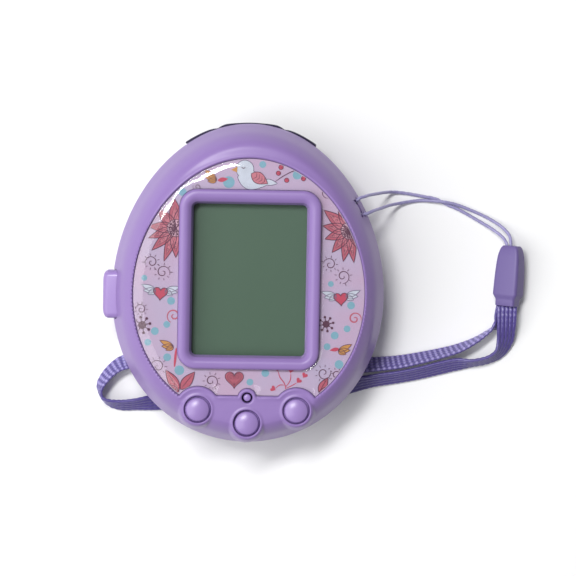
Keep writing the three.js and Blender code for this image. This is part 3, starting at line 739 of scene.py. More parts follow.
def back_dome():
    top = PARTING_Z - PARTING_GAP
    rings = dome(0, 0, top - PARTING_CHAMFER, 256, 44) + [flat_ring(egg_loop(PARTING_CHAMFER, 256), top)]
    outer = loft(rings)
    inner = loft(dome(WALL, 1.5, PARTING_Z + 1, 128, 20))
    return outer, combine(outer.copy(), "DIFFERENCE", inner)


def back_shell():
    outer, skin = back_dome()
    bay = prism(rounded_rect(**BAY), 0.2, BAY_ROOF_Z)
    hollow = prism(rounded_rect(COVER["half_x"] + 0.15, COVER["half_y"] + 0.15, COVER["corner"]), -1, 8.4)
    tubes = [post(x, y, 2, PARTING_Z - 0.2, SCREW_BOSS_R) for x, y in SCREW_POSTS]
    tubes.append(post(0, COVER["screw_y"], 3.9, BAY_ROOF_Z, SCREW_BOSS_R))
    ribs = combine(combine(bay, "DIFFERENCE", hollow), "UNION", *tubes)
    ribs = combine(ribs, "INTERSECT", outer)
    ribs = combine(ribs, "DIFFERENCE", cover_prism(COVER_GAP), post(0, COVER["screw_y"], -1, 3.9, 3.5))
    shell = combine(skin, "DIFFERENCE", cover_prism(COVER_GAP))
    shell = combine(shell, "UNION", ribs)
    bores = [turned(x, y, [(2.35, -0.5), (2.35, 1.2), (2.05, 1.6), (2.05, 8.3)], 64) for x, y in SCREW_POSTS]
    bores += [post(x, y, 8, 12, 1.15) for x, y in SCREW_POSTS]
    cross = ((0, 0), (1.9, 0), (-1.9, 0), (0, 1.9), (0, -1.9))
    sound = [post(x, BUZZER_Y + y, -1, 6, 0.55, sides=32) for x, y in cross]
    pilot = post(0, COVER["screw_y"], 3, 8.4, 1.0)
    notch = box(-13.2, 13.2, 24, 40, 5.75, 12)
    return combine(shell, "DIFFERENCE", *bores, pilot, *sound, side_slot(), notch)


def battery_cover():
    _, skin = back_dome()
    lid = combine(skin, "INTERSECT", cover_prism(-COVER_GAP))
    lid = combine(lid, "UNION", post(0, COVER["screw_y"], 0.6, 3.5, 3.2))
    grip = [prism(rounded_rect(4.5 - 0.8 * i, 0.3, 0.29, 0, -3.4 - 1.3 * i), -1, 0.28) for i in range(3)]
    head, shaft = post(0, COVER["screw_y"], -1, 1.7, 2.05), post(0, COVER["screw_y"], 1, 5, 1.05)
    return combine(lid, "DIFFERENCE", head, shaft, *grip)


# ---- Infrared window ----
IR = dict(half_x=13.1, thickness=1.5)
IR_PROFILE = [
    (5.9, 1.25), (6.05, 1.05), (6.4, 0.85), (7.0, 0.58), (7.7, 0.36), (8.5, 0.2), (9.2, 0.13), (9.8, 0.15),
    (10.05, 0.25), (10.2, 0.5),
]
# How far the window stands out of the egg's outline, at distances from the middle.
IR_BULGE = smooth_curve([
    (0, 0.4), (2, 0.42), (4, 0.55), (5.2, 0.63), (6.2, 0.48), (6.9, 0.28), (7.5, 0.42), (8.5, 0.56),
    (10, 0.62), (13.1, 0.68),
])


def ir_outline():
    x = np.linspace(IR["half_x"], -IR["half_x"], 105)
    angles = np.arccos(x / (HALF_WIDTH * (1 - 0.93 * EGG_TAPER)))
    bulges = IR_BULGE(np.abs(x))
    return np.concatenate([egg(np.array([angle]), -bulge) for angle, bulge in zip(angles, bulges)])


def ir_window():
    outline = ir_outline()
    rings = []
    for z, inset in IR_PROFILE:
        outer = outline - (0, inset)
        inner = outline * (0.98, 1) - (0, IR["thickness"] + inset / 2)
        rings.append(flat_ring(np.concatenate([outer, inner[::-1]]), z))
    return loft(rings)


# ---- Buttons and pins ----
def front_button(name):
    """Foot flange, straight stem, rounded edge and shallow dome."""
    top = BUTTON_TOP_Z[name]
    dome_r = BUTTON_DOME_R
    profile = [(0.4, 15.2), (2.9, 15.2), (2.9, 16.1), (2.68, 16.1), (2.68, top - 1.6), (2.6, top - 1.52),
               (BUTTON_R + 0.03, top - 1.46)]
    edge_r = BUTTON_R - 0.26
    edge_z = top - dome_r + math.sqrt(dome_r ** 2 - edge_r ** 2)
    rounding = ((0, 0.34), (0.02, 0.22), (0.08, 0.12), (0.16, 0.045))
    profile += [(BUTTON_R - inward, edge_z - below) for inward, below in rounding]
    profile += [(r, top - dome_r + math.sqrt(dome_r ** 2 - r * r)) for r in np.linspace(edge_r, 0.02, 14)]
    return turned(*BUTTONS[name], profile)


def reset_pin():
    """Post on a wide foot, with a rounded top."""
    r = RESET["pin_r"]
    rounding = ((0, 19.62), (0.05, 19.75), (0.16, 19.84), (0.34, 19.9), (0.55, 19.93))
    profile = [(0.3, 14.5), (1.6, 14.5), (1.6, 15.1), (r, 15.1)]
    profile += [(r - inward, z) for inward, z in rounding]
    profile.append((0.02, 19.94))
    return turned(*RESET_XY, profile, 48)


def side_button():
    s = SIDE_BUTTON
    face = -HALF_WIDTH - s["proud"]
    rounding = ((1.15, 0), (0.85, 0.03), (0.6, 0.12), (0.42, 0.24), (0.27, 0.42), (0.15, 0.66), (0.07, 0.95),
                (0.02, 1.4), (0, 2.1))
    layers = [(-25.1, 0)] + [(face + depth, inset) for depth, inset in rounding]
    rings = []
    for x, inset in layers:
        corner = max(0.15, s["corner"] - inset * 0.55)
        loop = rounded_rect(s["half_y"] - inset, s["half_z"] - inset, corner, steps=8)
        depth = np.where(x < face + 0.9, 0.34 * (loop[:, 0] / s["half_y"]) ** 2, 0)
        rings.append(upright_ring(loop, x + depth))
    return loft(rings)


def screw(x, y, head_z, head_r, head_height, shaft_r, tip_z):
    """Pan-head screw standing on its head, with a cross slot."""
    top = head_z + head_height
    rounding = ((0.5, 0.03), (0.8, 0.12), (0.94, 0.26), (1, 0.45))
    profile = [(0.05, head_z)] + [(head_r * part, head_z + rise) for part, rise in rounding]
    profile += [(head_r, top), (shaft_r, top), (shaft_r, tip_z - 0.6), (0.02, tip_z)]
    arm = head_r * 0.62
    long_slot = box(x - arm, x + arm, y - 0.2, y + 0.2, head_z - 1, head_z + 0.75)
    short_slot = box(x - 0.2, x + 0.2, y - arm, y + arm, head_z - 1, head_z + 0.75)
    return combine(turned(x, y, profile, 48), "DIFFERENCE", long_slot, short_slot)


# ---- Strap ----
# The loop cord leaves the cap, lies on the table, climbs to the channel in the front shell, goes round the
# bar and comes back the same way. Millimetres.
CORD_ROUTE = [
    (55.5, 8.9, 2.9), (55.3, 10.5, 2.3), (53.9, 12.3, 1.2), (50.7, 14.3, 0.5),
    (47.0, 15.9, 0.45), (43.9, 17.0, 0.75), (41.3, 17.5, 1.2), (38.5, 17.7, 0.8),
    (36.2, 17.7, 0.5), (33.9, 17.4, 0.7), (31.6, 17.0, 1.8), (29.5, 16.6, 4.2),
    (27.8, 16.1, 7.2), (26.3, 15.7, 10.2), (25.3, 15.4, 12.2), (24.04, 14.89, 13.0),
    (22.71, 14.8, 13.0), (21.7, 15.69, 13.0), (21.61, 17.02, 13.0), (22.5, 18.03, 13.0),
    (23.7, 18.45, 12.6), (24.6, 18.7, 11.2), (25.7, 18.9, 9.2), (27.1, 19.1, 6.2),
    (28.7, 19.3, 3.1), (30.5, 19.4, 1.1), (33.0, 19.2, 0.45), (36.8, 18.6, 0.45),
    (39.6, 18.1, 0.45), (41.9, 17.0, 0.45), (44.6, 15.9, 0.45), (48.3, 13.9, 0.5),
    (51.9, 11.8, 1.1), (53.9, 10.2, 2.1), (54.6, 8.9, 2.9),
]

# Middle of the ribbon as (x, y, lift, lean in degrees); lift is its height above lying on the table.
RIBBON_ROUTE = [
    (54.9, -4.3, 2.05, 180), (54.5, -5.8, 1.2, 164), (53.5, -7.8, 0.2, 132), (51.8, -9.4, 0, 96),
    (48.9, -11.5, 0, 86), (45.1, -13.4, 0, 74), (41.2, -14.6, 0, 69), (36.9, -15.65, 0, 64),
    (32.7, -16.55, 0, 58), (28.2, -17.1, 0, 54), (23.5, -17.45, 0, 42), (19, -18.0, 0, 24),
    (14, -18.9, 0, 8), (8, -19.6, 0, 0), (0, -19.8, 0, 0), (-8, -19.3, 0, 0),
    (-14.5, -18.3, 0, 12), (-19.5, -17.5, 0, 30), (-23.2, -17.2, 0, 46), (-26.2, -17.8, 0, 52),
    (-28.3, -19.2, 0, 60), (-29.8, -20.9, 0, 64), (-30.7, -22.5, 0, 70), (-30.8, -23.8, 0, 80),
    (-30.4, -25.0, 0, 86), (-29.6, -25.8, 0, 78), (-28.2, -26.4, 0, 66), (-26.1, -26.7, 0, 58),
    (-23.4, -26.5, 0, 54), (-20.0, -26.1, 0, 38), (-15, -25.5, 0, 14), (-9, -25.0, 0, 0),
    (0, -24.6, 0, 0), (9, -24.1, 0, 0), (16, -23.15, 0, 14), (21.5, -21.95, 0, 33),
    (27, -20.7, 0, 49), (32.7, -19.75, 0, 51), (37, -18.85, 0, 50), (41.2, -17.75, 0, 48),
    (44.6, -16.95, 0, 50), (48.3, -16.55, 0, 68), (51.5, -15.75, 0, 66), (53.75, -14.3, 0, 54),
    (54.9, -11.6, 0.85, 28), (54.95, -9.0, 2.3, 14), (54.95, -6.6, 3.0, 5), (54.95, -4.3, 3.2, 0),
]
CAP_HEAD = np.array([55.7, 8.5, 3.2])
CAP_FOOT = np.array([55.0, -3.9, 3.1])
# Both ends of the cord go on a little way into the hole in the cap.
CORD_START = [(55.46, 7.5, 2.86), (55.48, 8.2, 2.87)]
CORD_END = [(54.74, 8.2, 2.87), (54.72, 7.5, 2.86)]


def loop_cord(material):
    """Braided cord: two threads wind round it each way."""
    middle, distances = resample(catmull_rom(CORD_START + CORD_ROUTE + CORD_END, 1000), 0.14)
    sides = 16
    plait_pitch = 1.5
    turns = np.arange(sides) * 2 * math.pi / sides
    phase = 2 * math.pi * distances[:, None] / plait_pitch
    threads = np.maximum(np.sin(2 * turns + phase), np.sin(2 * turns - phase + 1))
    braid = tube(middle, CORD_D / 2 * (0.86 + 0.12 * threads), sides)
    cord = piece("loop_cord_braid", braid, material, "case", ["loop_cord"], sharp=180)
    return cord, middle, distances[-1]


def resting_height(lean):
    return (RIBBON["width"] * np.abs(np.sin(lean)) + RIBBON["thickness"] * np.abs(np.cos(lean))) / 2 + 0.05


def ribbon_line():
    """Middle line of the ribbon and its lean, at even spacing."""
    samples = 1600
    flat = catmull_rom([(x, y) for x, y, _, _ in RIBBON_ROUTE], samples)
    settings = catmull_rom([(i, lift, lean) for i, (_, _, lift, lean) in enumerate(RIBBON_ROUTE)], samples)
    lean = np.radians(settings[:, 2])
    line = np.column_stack([flat, resting_height(lean) + settings[:, 1], lean])
    return resample(line, 0.16)


# Painted highlight: the stitch crests are painted paler where the ribbon's face turns this way, towards the
# key light.
PAINTED_HIGHLIGHT_SIDE = np.array([-0.4, 1.0, 0.62])


def wrist_ribbon(material):
    """Woven ribbon: ribs along it, and a bead on each rib at every stitch, with a painted highlight on the
    beads that face the light.
    """
    line, distances = ribbon_line()
    middle, leans = line[:, :3], line[:, 3]
    along = directions(middle)
    ribs = 5
    per_rib = 8
    stitch = 1.15
    across_parts = np.arange(ribs * per_rib + 1) / (ribs * per_rib)
    rib_index = np.minimum((across_parts * ribs).astype(int), ribs - 1)
    in_rib = across_parts * ribs - rib_index
    rib_shape = np.sqrt(np.clip(1 - (2 * in_rib - 1) ** 2, 0, 1))
    rings = []
    painted_highlights = []
    for p, direction, lean, distance in zip(middle, along, leans, distances):
        aside = unit(np.array([-direction[1], direction[0], 0.0]))
        across = aside * math.cos(lean) + np.array([0, 0, math.sin(lean)])
        across = unit(across - direction * (across @ direction))
        thick = np.cross(direction, across)
        bead = abs(math.sin(math.pi * distance / stitch)) ** 0.6
        half = 0.14 + 0.25 * rib_shape * (0.5 + 0.5 * bead)
        offset = (across_parts - 0.5) * RIBBON["width"]
        upper = p + offset[:, None] * across + half[:, None] * thick
        lower = p + offset[::-1, None] * across - half[::-1, None] * thick
        rings.append(np.concatenate([upper, lower]))
        # Painted highlight: how much paler each point's yarn is painted, from its bead's height and how far
        # the face turns to the key light.
        painted_highlight = rib_shape * bead ** 2 * min(max(thick @ PAINTED_HIGHLIGHT_SIDE, 0.0), 1.0)
        painted_highlights.append(np.concatenate([painted_highlight, painted_highlight[::-1]]))
    weave = loft(rings)
    weave.attributes.new("painted_highlight", "FLOAT", "POINT").data.foreach_set("value", np.concatenate(painted_highlights))
    ribbon = piece("ribbon_weave", weave, material, "case", ["wrist_ribbon"], sharp=180)
    return ribbon, middle, distances[-1]


def strap_cap():
    """Cap that narrows to a blunt head, with the cord's hole in it, and steps in at its foot."""
    along = CAP_FOOT - CAP_HEAD
    length = np.linalg.norm(along)
    along /= length
    side = np.array([-along[1], along[0], 0])
    across = side * math.cos(CAP["turn"]) + np.array([0, 0, math.sin(CAP["turn"])])
    thick = np.cross(along, across)
    end = length + 0.3
    scale_at = smooth_curve([
        (0, 0.56), (0.12, 0.6), (0.35, 0.67), (0.7, 0.73), (1.0, 0.765), (2.2, 0.87), (5, 0.95), (10.1, 1),
        (10.4, 0.985), (11.3, 0.81), (11.6, 0.79), (end, 0.78),
    ])
    rings = []
    for distance in (0, 0.06, 0.12, 0.2, 0.35, 0.5, 0.7, 0.9, 1.1, 1.6, 2.2, 3.4, 5, 7, 10.1, 10.25, 10.4,
                     10.8, 11.2, 11.4, 11.6, end - 0.1, end):
        scale = float(scale_at(distance)) - (0.035 if distance == end else 0)
        loop = rounded_rect(CAP["width"] * scale / 2, CAP["depth"] * scale / 2, 0.8 * scale, steps=8)
        rings.append([CAP_HEAD + distance * along + x * across + y * thick for x, y in loop])
    body = loft(rings)
    mouth = CAP_HEAD + np.array([-0.55, 0, -0.25])
    hole = tube(np.array([mouth - 1.0 * along, mouth, mouth + 1.6 * along]), 0.8, 32)
    return combine(body, "DIFFERENCE", hole)


# ---- Printed faceplate ----
INK_STEP = 0.012
BEZEL_LOOP = rounded_rect(BEZEL["half_x"] + 0.08, BEZEL["half_y"] + 0.08, BEZEL["corner"], 0, BEZEL["y"])


def slab(points, faces, z0, z1):
    """Closed sheet over a flat triangulation."""
    shape = Shape()
    top = shape.add(np.column_stack([points, np.full(len(points), z1)]))
    bottom = shape.add(np.column_stack([points, np.full(len(points), z0)]))
    sides = set()
    for a, b, c in faces:
        shape.faces.append((top + a, top + b, top + c))
        shape.faces.append((bottom + c, bottom + b, bottom + a))
        sides.update([(a, b), (b, c), (c, a)])
    for a, b in sides:
        if (b, a) not in sides:
            shape.faces.append((top + b, top + a, bottom + a, bottom + b))
    mesh = bpy.data.meshes.new("work")
    mesh.from_pydata(shape.points, [], [tuple(int(i) for i in face) for face in shape.faces])
    return mesh


def ink_layer(polygons, level):
    """Thin layer of ink over the union of the polygons, trimmed to the sheet."""
    edge = face_loop(SHEET_GAP + 0.15)

    def keep(centres):
        covered = np.zeros(len(centres), bool)
        for polygon in polygons:
            low, high = polygon.min(axis=0), polygon.max(axis=0)
            near = np.flatnonzero(np.all((centres >= low) & (centres <= high), axis=1))
            covered[near] |= inside(centres[near], polygon)
        return covered & inside(centres, edge) & ~inside(centres, BEZEL_LOOP)

    points, faces = triangulate([*polygons, edge, BEZEL_LOOP], [], keep)
    return slab(points, faces, INK_Z - 0.02, INK_Z + level * INK_STEP)


def turn_and_move(points, x, y, turn=0.0, size=1.0):
    """Drawing scaled, turned in degrees and moved to (x, y)."""
    c, s = math.cos(math.radians(turn)), math.sin(math.radians(turn))
    points = np.asarray(points) * size
    return points @ np.array([[c, s], [-s, c]]) + (x, y)


def band(line, width, closed=False):
    """Outline of a pen stroke along a line; open strokes taper towards their ends."""
    line = np.asarray(line, float)
    along = np.gradient(line, axis=0) if not closed else np.roll(line, -1, axis=0) - np.roll(line, 1, axis=0)
    along /= np.maximum(np.linalg.norm(along, axis=1), 1e-6)[:, None]
    normal = np.column_stack([-along[:, 1], along[:, 0]])
    parts = np.linspace(0, 1, len(line))
    taper = 0.25 + 0.75 * np.sin(math.pi * np.clip(parts, 0.02, 0.98)) ** 0.5
    half = width / 2 * (np.ones(len(line)) if closed else taper)
    left, right = line + half[:, None] * normal, line - half[:, None] * normal
    if closed:
        return np.concatenate([left, left[:1], right[:1], right[::-1]])
    return np.concatenate([left, right[::-1]])


def heart_line(points=26):
    t = np.linspace(0, 2 * math.pi, points, endpoint=False)
    x = 16 * np.sin(t) ** 3
    y = 13 * np.cos(t) - 5 * np.cos(2 * t) - 2 * np.cos(3 * t) - np.cos(4 * t)
    return np.column_stack([x, y + 2]) / 33


def petal_line(length, width, skew=0.0, points=13):
    """Leaf shape from the origin along +X, its widest part before the middle."""
    t = np.linspace(0, 1, points)
    half = width / 2 * np.sin(math.pi * t ** 0.8)
    bend = skew * t * t * length
    upper = np.column_stack([t * length, bend + half])
    lower = np.column_stack([t * length, bend - half])
    return np.concatenate([upper, lower[-2:0:-1]])


def spiral_line(radius, turns, points=30):
    t = np.linspace(0.12, 1, points)
    angles = t * turns * 2 * math.pi
    return np.column_stack([radius * t * np.cos(angles), radius * t * np.sin(angles)])


INK_COLOURS = {
    "teal": (124, 170, 188), "under": (98, 82, 112), "white": (202, 208, 222), "salmon": (186, 92, 112),
    "red": (192, 66, 94), "rose": (202, 118, 134), "orange": (202, 144, 76), "pink": (210, 168, 184),
    "grey": (112, 100, 128), "plum": (88, 42, 70),
}


class Drawing:
    """Polygons of each ink."""

    def __init__(self):
        self.inks = {ink: [] for ink in INK_COLOURS}

    def paint(self, ink, polygon):
        self.inks[ink].append(np.asarray(polygon, float))

    def outlined(self, ink, polygon, width=0.13, pen="plum"):
        self.paint(ink, polygon)
        self.paint(pen, band(polygon, width, closed=True))

    def silhouette(self, ink, polygon, width=0.13):
        """Shape with its outline drawn below, so that joined shapes share one outline."""
        self.paint("under", band(polygon, 2 * width, closed=True))
        self.paint(ink, polygon)

    def stroke(self, ink, line, width=0.16):
        self.paint(ink, band(line, width))

    def curve(self, ink, points, samples, width):
        """Pen stroke through a few points."""
        self.stroke(ink, catmull_rom(points, samples), width)

    def dot(self, x, y, r, ink="teal"):
        self.paint(ink, circle(x, y, r, 18))

    def spiral(self, x, y, radius, turn=0, mirror=1, ink="plum", width=0.15, turns=1.6):
        line = spiral_line(radius, turns) * (1, mirror)
        self.stroke(ink, turn_and_move(line, x, y, turn), width)

    def thorn_spiral(self, x, y, radius, turn=0, mirror=1):
        """Curl with short spikes on its outside."""
        self.spiral(x, y, radius, turn, mirror, turns=1.5)
        for step in range(9):
            angle = math.radians(200 + step * 40)
            reach = radius * (0.8 + 0.025 * step)
            start = np.array([math.cos(angle), math.sin(angle) * mirror]) * reach
            line = turn_and_move([start, start * 1.15, start * 1.38], x, y, turn)
            self.stroke("plum", line, 0.11)

    def heart(self, x, y, size, turn=0, ink="red", pattern=True):
        self.outlined(ink, turn_and_move(heart_line(), x, y, turn, size))
        if pattern:
            curl = turn_and_move(spiral_line(0.17, 1.2, 14), x - 0.2 * size, y + 0.12 * size, turn, size)
            self.stroke("white", curl, 0.12)

    def wing(self, x, y, size, turn, mirror=1, ink="white"):
        pen = "grey" if ink == "white" else "plum"
        for length, angle in ((1.0, 4), (0.8, -20), (0.58, -48)):
            feather = turn_and_move(petal_line(length, 0.36, 0.12), 0, 0, angle) * (1, mirror)
            self.outlined(ink, turn_and_move(feather, x, y, turn, size), 0.11, pen)

    def winged_heart(self, x, y, tilt):
        self.wing(x + 1.0, y + 0.8, 3.1, 6 + tilt, 1)
        self.wing(x - 1.0, y + 0.8, 3.1, 174 + tilt, -1)
        self.heart(x, y, 3.0, tilt)

    def flower(self, x, y, tips):
        """Large flower: a petal to each tip, smaller ones between, and a dark seeded middle."""
        for tip_x, tip_y, width in tips:
            length = math.hypot(tip_x - x, tip_y - y)
            turn = math.degrees(math.atan2(tip_y - y, tip_x - x))
            self.outlined("salmon", turn_and_move(petal_line(length, width), x, y, turn), 0.15)
            inner = turn_and_move(petal_line(length * 0.8, width * 0.56), x, y, turn)
            self.paint("rose", inner)
            self.paint("plum", band(inner, 0.07, closed=True))
            for part in (0.5, 0.64):
                spot = turn_and_move([(length * part, 0)], x, y, turn)[0]
                self.spiral(spot[0], spot[1], 0.34, turn, 1, "plum", 0.09, 1.2)
        self.outlined("pink", circle(x, y, 1.75, 30), 0.12)
        for seed in range(10):
            angle = seed * math.pi / 5
            self.dot(x + 1.3 * math.cos(angle), y + 1.3 * math.sin(angle), 0.19, "plum")
        self.outlined("salmon", circle(x, y, 0.8, 20), 0.1)
        self.dot(x, y, 0.3, "plum")

    def star_flower(self, x, y, r):
        """Small dark flower with round-ended rays."""
        self.dot(x, y, r * 0.42, "plum")
        self.dot(x, y, r * 0.2, "salmon")
        for ray in range(8):
            angle = ray * math.pi / 4 + 0.2
            end = (x + r * 0.85 * math.cos(angle), y + r * 0.85 * math.sin(angle))
            self.stroke("plum", np.linspace((x, y), end, 4), 0.17)
            self.dot(*end, r * 0.15, "plum")

    def leaf(self, x, y, length, width, turn):
        self.outlined("salmon", turn_and_move(petal_line(length, width), x, y, turn), 0.14)
        spine = [(0.1 * length, 0), (0.5 * length, 0.03), (0.88 * length, 0)]
        self.stroke("plum", turn_and_move(spine, x, y, turn), 0.12)
        for part in (0.28, 0.45, 0.62):
            for side in (1, -1):
                rib = [(part * length, 0), ((part + 0.1) * length, side * width * 0.28)]
                self.stroke("red", turn_and_move(rib, x, y, turn), 0.12)


# Round dots (x, y, radius) and thorny curls (x, y, radius, turn, mirror) between the larger figures.
DOTS = [
    (-4.5, 20.9, 1.2), (-13.8, 18.7, 0.8), (2.3, 24.6, 0.7), (9.3, 22.6, 0.9), (-15.8, -3.4, 0.8),
    (-16.6, -8.2, 0.7), (-19.0, -9.6, 0.8), (-20.4, -11.9, 0.7), (-16.4, -14.9, 0.8), (-13.9, -17.5, 1.0),
    (0.5, -19.7, 0.7), (3.6, -17.8, 0.8), (20.8, -3.7, 0.8), (20.1, -8.5, 0.7), (17.6, -9.9, 0.8),
    (16.1, -12.2, 0.7), (18.6, -15.8, 0.9), (13.2, 21.4, 0.6), (-21.3, 1.2, 0.6), (16.6, 0.6, 0.6),
]
CURLS = [
    (-19.9, 4.4, 1.2, 20, 1), (-17.6, 2.4, 1.3, 160, -1), (16.3, 4.6, 1.2, 0, 1), (19.0, 2.2, 1.3, 90, -1),
    (-18.3, -16.8, 1.4, 40, 1), (-7.4, -19.6, 1.3, 100, -1), (15.5, -17.6, 1.3, 200, 1),
    (18.0, -18.0, 1.1, 60, -1), (-21.9, -5.2, 1.0, 0, 1),
]
# Plain spirals (x, y, radius, turn, mirror, ink, width) and leaves (x, y, length, width, turn).
SPIRALS = [
    (-15.2, -6.4, 1.5, 30, 1, "salmon", 0.3), (21.6, -6.4, 1.4, 200, -1, "salmon", 0.3),
    (15.5, 19.2, 1.2, 60, 1, "plum", 0.17), (-10.9, 19.8, 0.9, 10, -1, "plum", 0.15),
]
LEAVES = [
    (-13.9, -21.6, 5.0, 2.0, 124), (-13.6, -21.4, 4.6, 2.0, 52), (-13.9, -21.8, 4.2, 1.8, 168),
    (14.6, -21.6, 3.6, 1.6, 60), (14.6, -21.6, 3.6, 1.6, 12),
]


def draw_faceplate():
    """Generic garden pattern: hearts, wings, flowers, curls, dots and a plain bird."""
    d = Drawing()
    for x, y, r in DOTS:
        d.dot(x, y, r)
    # Bird
    d.silhouette("white", turn_and_move(petal_line(2.9, 1.1), 2.4, 21.2, -8))
    d.silhouette("white", turn_and_move(petal_line(6.4, 3.7, 0.03), -2.7, 22.0, -14))
    d.silhouette("white", circle(-1.3, 23.6, 1.75, 30))
    d.paint("orange", [(-2.8, 24.1), (-4.1, 23.4), (-2.9, 22.9)])
    d.curve("plum", [(-2.0, 24.0), (-1.6, 23.75), (-1.2, 24.0)], 9, 0.14)
    d.outlined("rose", turn_and_move(petal_line(3.9, 2.3), 0.0, 22.7, -30), 0.13)
    for part in (0.22, 0.38, 0.54, 0.7):
        rib = [(3.9 * part, 0.75), (3.9 * part + 0.4, 0), (3.9 * part, -0.75)]
        d.stroke("plum", turn_and_move(rib, 0.0, 22.7, -30), 0.12)
    # Berry branch
    d.curve("plum", [(4.9, 21.2), (6.6, 22.4), (9.4, 23.6), (11.2, 22.9)], 18, 0.15)
    for x, y in [(6.0, 24.1), (8.9, 24.4), (5.5, 22.9), (7.2, 21.5), (10.6, 21.9)]:
        d.stroke("plum", np.linspace((x * 0.86 + 1.1, y * 0.86 + 3.2), (x, y), 4), 0.11)
        d.outlined("red", circle(x, y, 0.46, 16), 0.1)
    # Wings near the top and the sides
    d.wing(-7.0, 21.4, 3.2, 152, -1, "orange")
    d.paint("red", turn_and_move(petal_line(2.2, 0.9), -6.8, 21.2, 10))
    d.wing(-15.2, -12.6, 3.0, 168, -1, "orange")
    d.stroke("red", np.linspace((-14.6, -13.0), (-14.9, -16.8), 5), 0.5)
    d.wing(18.4, -12.9, 3.0, 14, 1, "orange")
    d.paint("red", turn_and_move(petal_line(2.0, 0.8), 18.6, -12.6, 190))
    # Big flowers
    d.flower(-15.1, 11.4, [(-15.4, 17.3, 2.5), (-18.9, 15.2, 2.2), (-20.7, 11.7, 2.1), (-20.6, 9.3, 1.8),
                           (-19.9, 6.8, 1.9), (-17.4, 4.6, 1.9), (-15.0, 5.4, 2.1), (-14.0, 16.2, 1.6)])
    d.flower(20.2, 11.5, [(14.9, 15.6, 2.4), (14.7, 12.4, 2.2), (15.2, 9.7, 2.1), (16.7, 7.0, 2.1),
                          (19.0, 5.2, 2.0), (21.2, 5.0, 1.8), (17.8, 16.9, 2.1), (22.6, 7.4, 1.5)])
    # Winged hearts
    d.winged_heart(-18.0, -2.0, -4)
    d.winged_heart(18.7, -2.5, 4)
    # Curls
    for x, y, r, turn, mirror in CURLS:
        d.thorn_spiral(x, y, r * 1.15, turn, mirror)
    for spiral in SPIRALS:
        d.spiral(*spiral)
    d.star_flower(-21.6, -8.4, 1.9)
    d.star_flower(15.8, -7.6, 1.7)
    # Leaves, hearts and the heart branch along the bottom
    for leaf in LEAVES:
        d.leaf(*leaf)
    d.heart(-2.7, -19.3, 3.9, 0, "salmon", False)
    d.paint("plum", band(turn_and_move(heart_line(), -2.7, -19.2, 0, 2.9), 0.09, closed=True))
    for side in (-1, 1):
        d.spiral(-2.7 + side * 0.62, -18.8, 0.55, 90, side, "plum", 0.11, 1.4)
    d.stroke("plum", np.linspace((-2.7, -19.6), (-2.7, -20.5), 4), 0.12)
    d.curve("red", [(7.9, -21.9), (7.6, -20.0), (6.6, -18.6), (6.2, -17.4)], 16, 0.2)
    d.curve("red", [(7.8, -20.6), (8.7, -19.2), (8.8, -17.8)], 12, 0.18)
    d.curve("red", [(7.8, -20.9), (9.2, -20.2), (10.0, -19.7)], 12, 0.18)
    d.curve("red", [(7.5, -20.2), (6.6, -20.2), (5.7, -20.9)], 12, 0.18)
    for x, y, turn in [(6.0, -16.9, 15), (8.8, -17.2, -10), (10.4, -19.3, -40), (5.3, -21.0, 60),
                       (11.6, -18.2, -30)]:
        d.paint("red", turn_and_move(heart_line(), x, y, turn, 1.25))
    return d.inks


def add_faceplate():
    edge = face_loop(SHEET_GAP)
    points, faces = triangulate([edge, BEZEL_LOOP], [])
    paper = textured("print_pink", (192, 154, 180), (170, 168, 196), 0.45, grain=4000, bump=0.02,
                     patch=110)
    sheet = slab(points, faces, PRINT_BASE_Z, INK_Z)
    piece("print_sheet", sheet, paper, "case", ["faceplate_print"])
    for level, (ink, polygons) in enumerate(draw_faceplate().items(), 1):
        colour = INK_COLOURS[ink]
        deeper = tuple(int(c * 0.9) for c in colour)
        material = textured("ink_" + ink, colour, deeper, 0.45, grain=4000, bump=0.02, patch=700)
        piece("print_" + ink, ink_layer(polygons, level), material, "case")


def window_edge(grow):
    """Edge of the cover round the bezel."""
    half_x, half_y = BEZEL["half_x"] + SHEET_GAP + grow, BEZEL["half_y"] + SHEET_GAP + grow
    return rounded_rect(half_x, half_y, BEZEL["corner"] + grow, 0, BEZEL["y"], 14)


def clear_cover():
    """Clear sheet over the print, pillowed towards both of its edges."""
    outer = face_loop(SHEET_GAP)
    inner = window_edge(0)
    steps = (0.06, 0.14, 0.25, 0.4)
    spread = [face_loop(SHEET_GAP + step) for step in steps] + [window_edge(step) for step in steps]
    grid = hex_grid(-24, 24, -23, 27, 0.36)
    grid = grid[(distance_to(grid, outer) > 0.5) & (distance_to(grid, inner) > 0.5)]
    spread = np.concatenate([*spread, grid])
    good = inside(spread, outer) & ~inside(spread, inner)
    good &= (distance_to(spread, outer) > 0.04) & (distance_to(spread, inner) > 0.04)

    def height(points):
        from_outer = np.clip(distance_to(points, outer) / 3.0, 0, 1)
        from_inner = np.clip(distance_to(points, inner) / 1.6, 0, 1)
        return COVER_TOP_Z - 0.49 * (1 - from_outer) ** 2 - 0.22 * (1 - from_inner) ** 2

    shape = Shape()
    shape.fill([outer, inner], spread[good], height)
    shape.fill([outer, inner], [], flat_at(COVER_BASE_Z))
    for loop in (outer, inner):
        shape.skin([draped(loop, height), flat_ring(loop, COVER_BASE_Z)])
    mesh = shape.mesh()
    flat = np.array([tuple(v.co) for v in mesh.vertices])
    step = 0.02
    asides = ((step, 0), (0, step))
    rises = [height(flat[:, :2] + aside) - height(flat[:, :2] - aside) for aside in asides]
    slope_x, slope_y = (rise / (2 * step) for rise in rises)
    up = np.where(flat[:, 2] > COVER_BASE_Z + 0.01, 1.0, -1.0)
    normals = np.column_stack([-slope_x, -slope_y, np.ones(len(flat))]) * up[:, None]
    return mesh, normals / np.linalg.norm(normals, axis=1)[:, None]


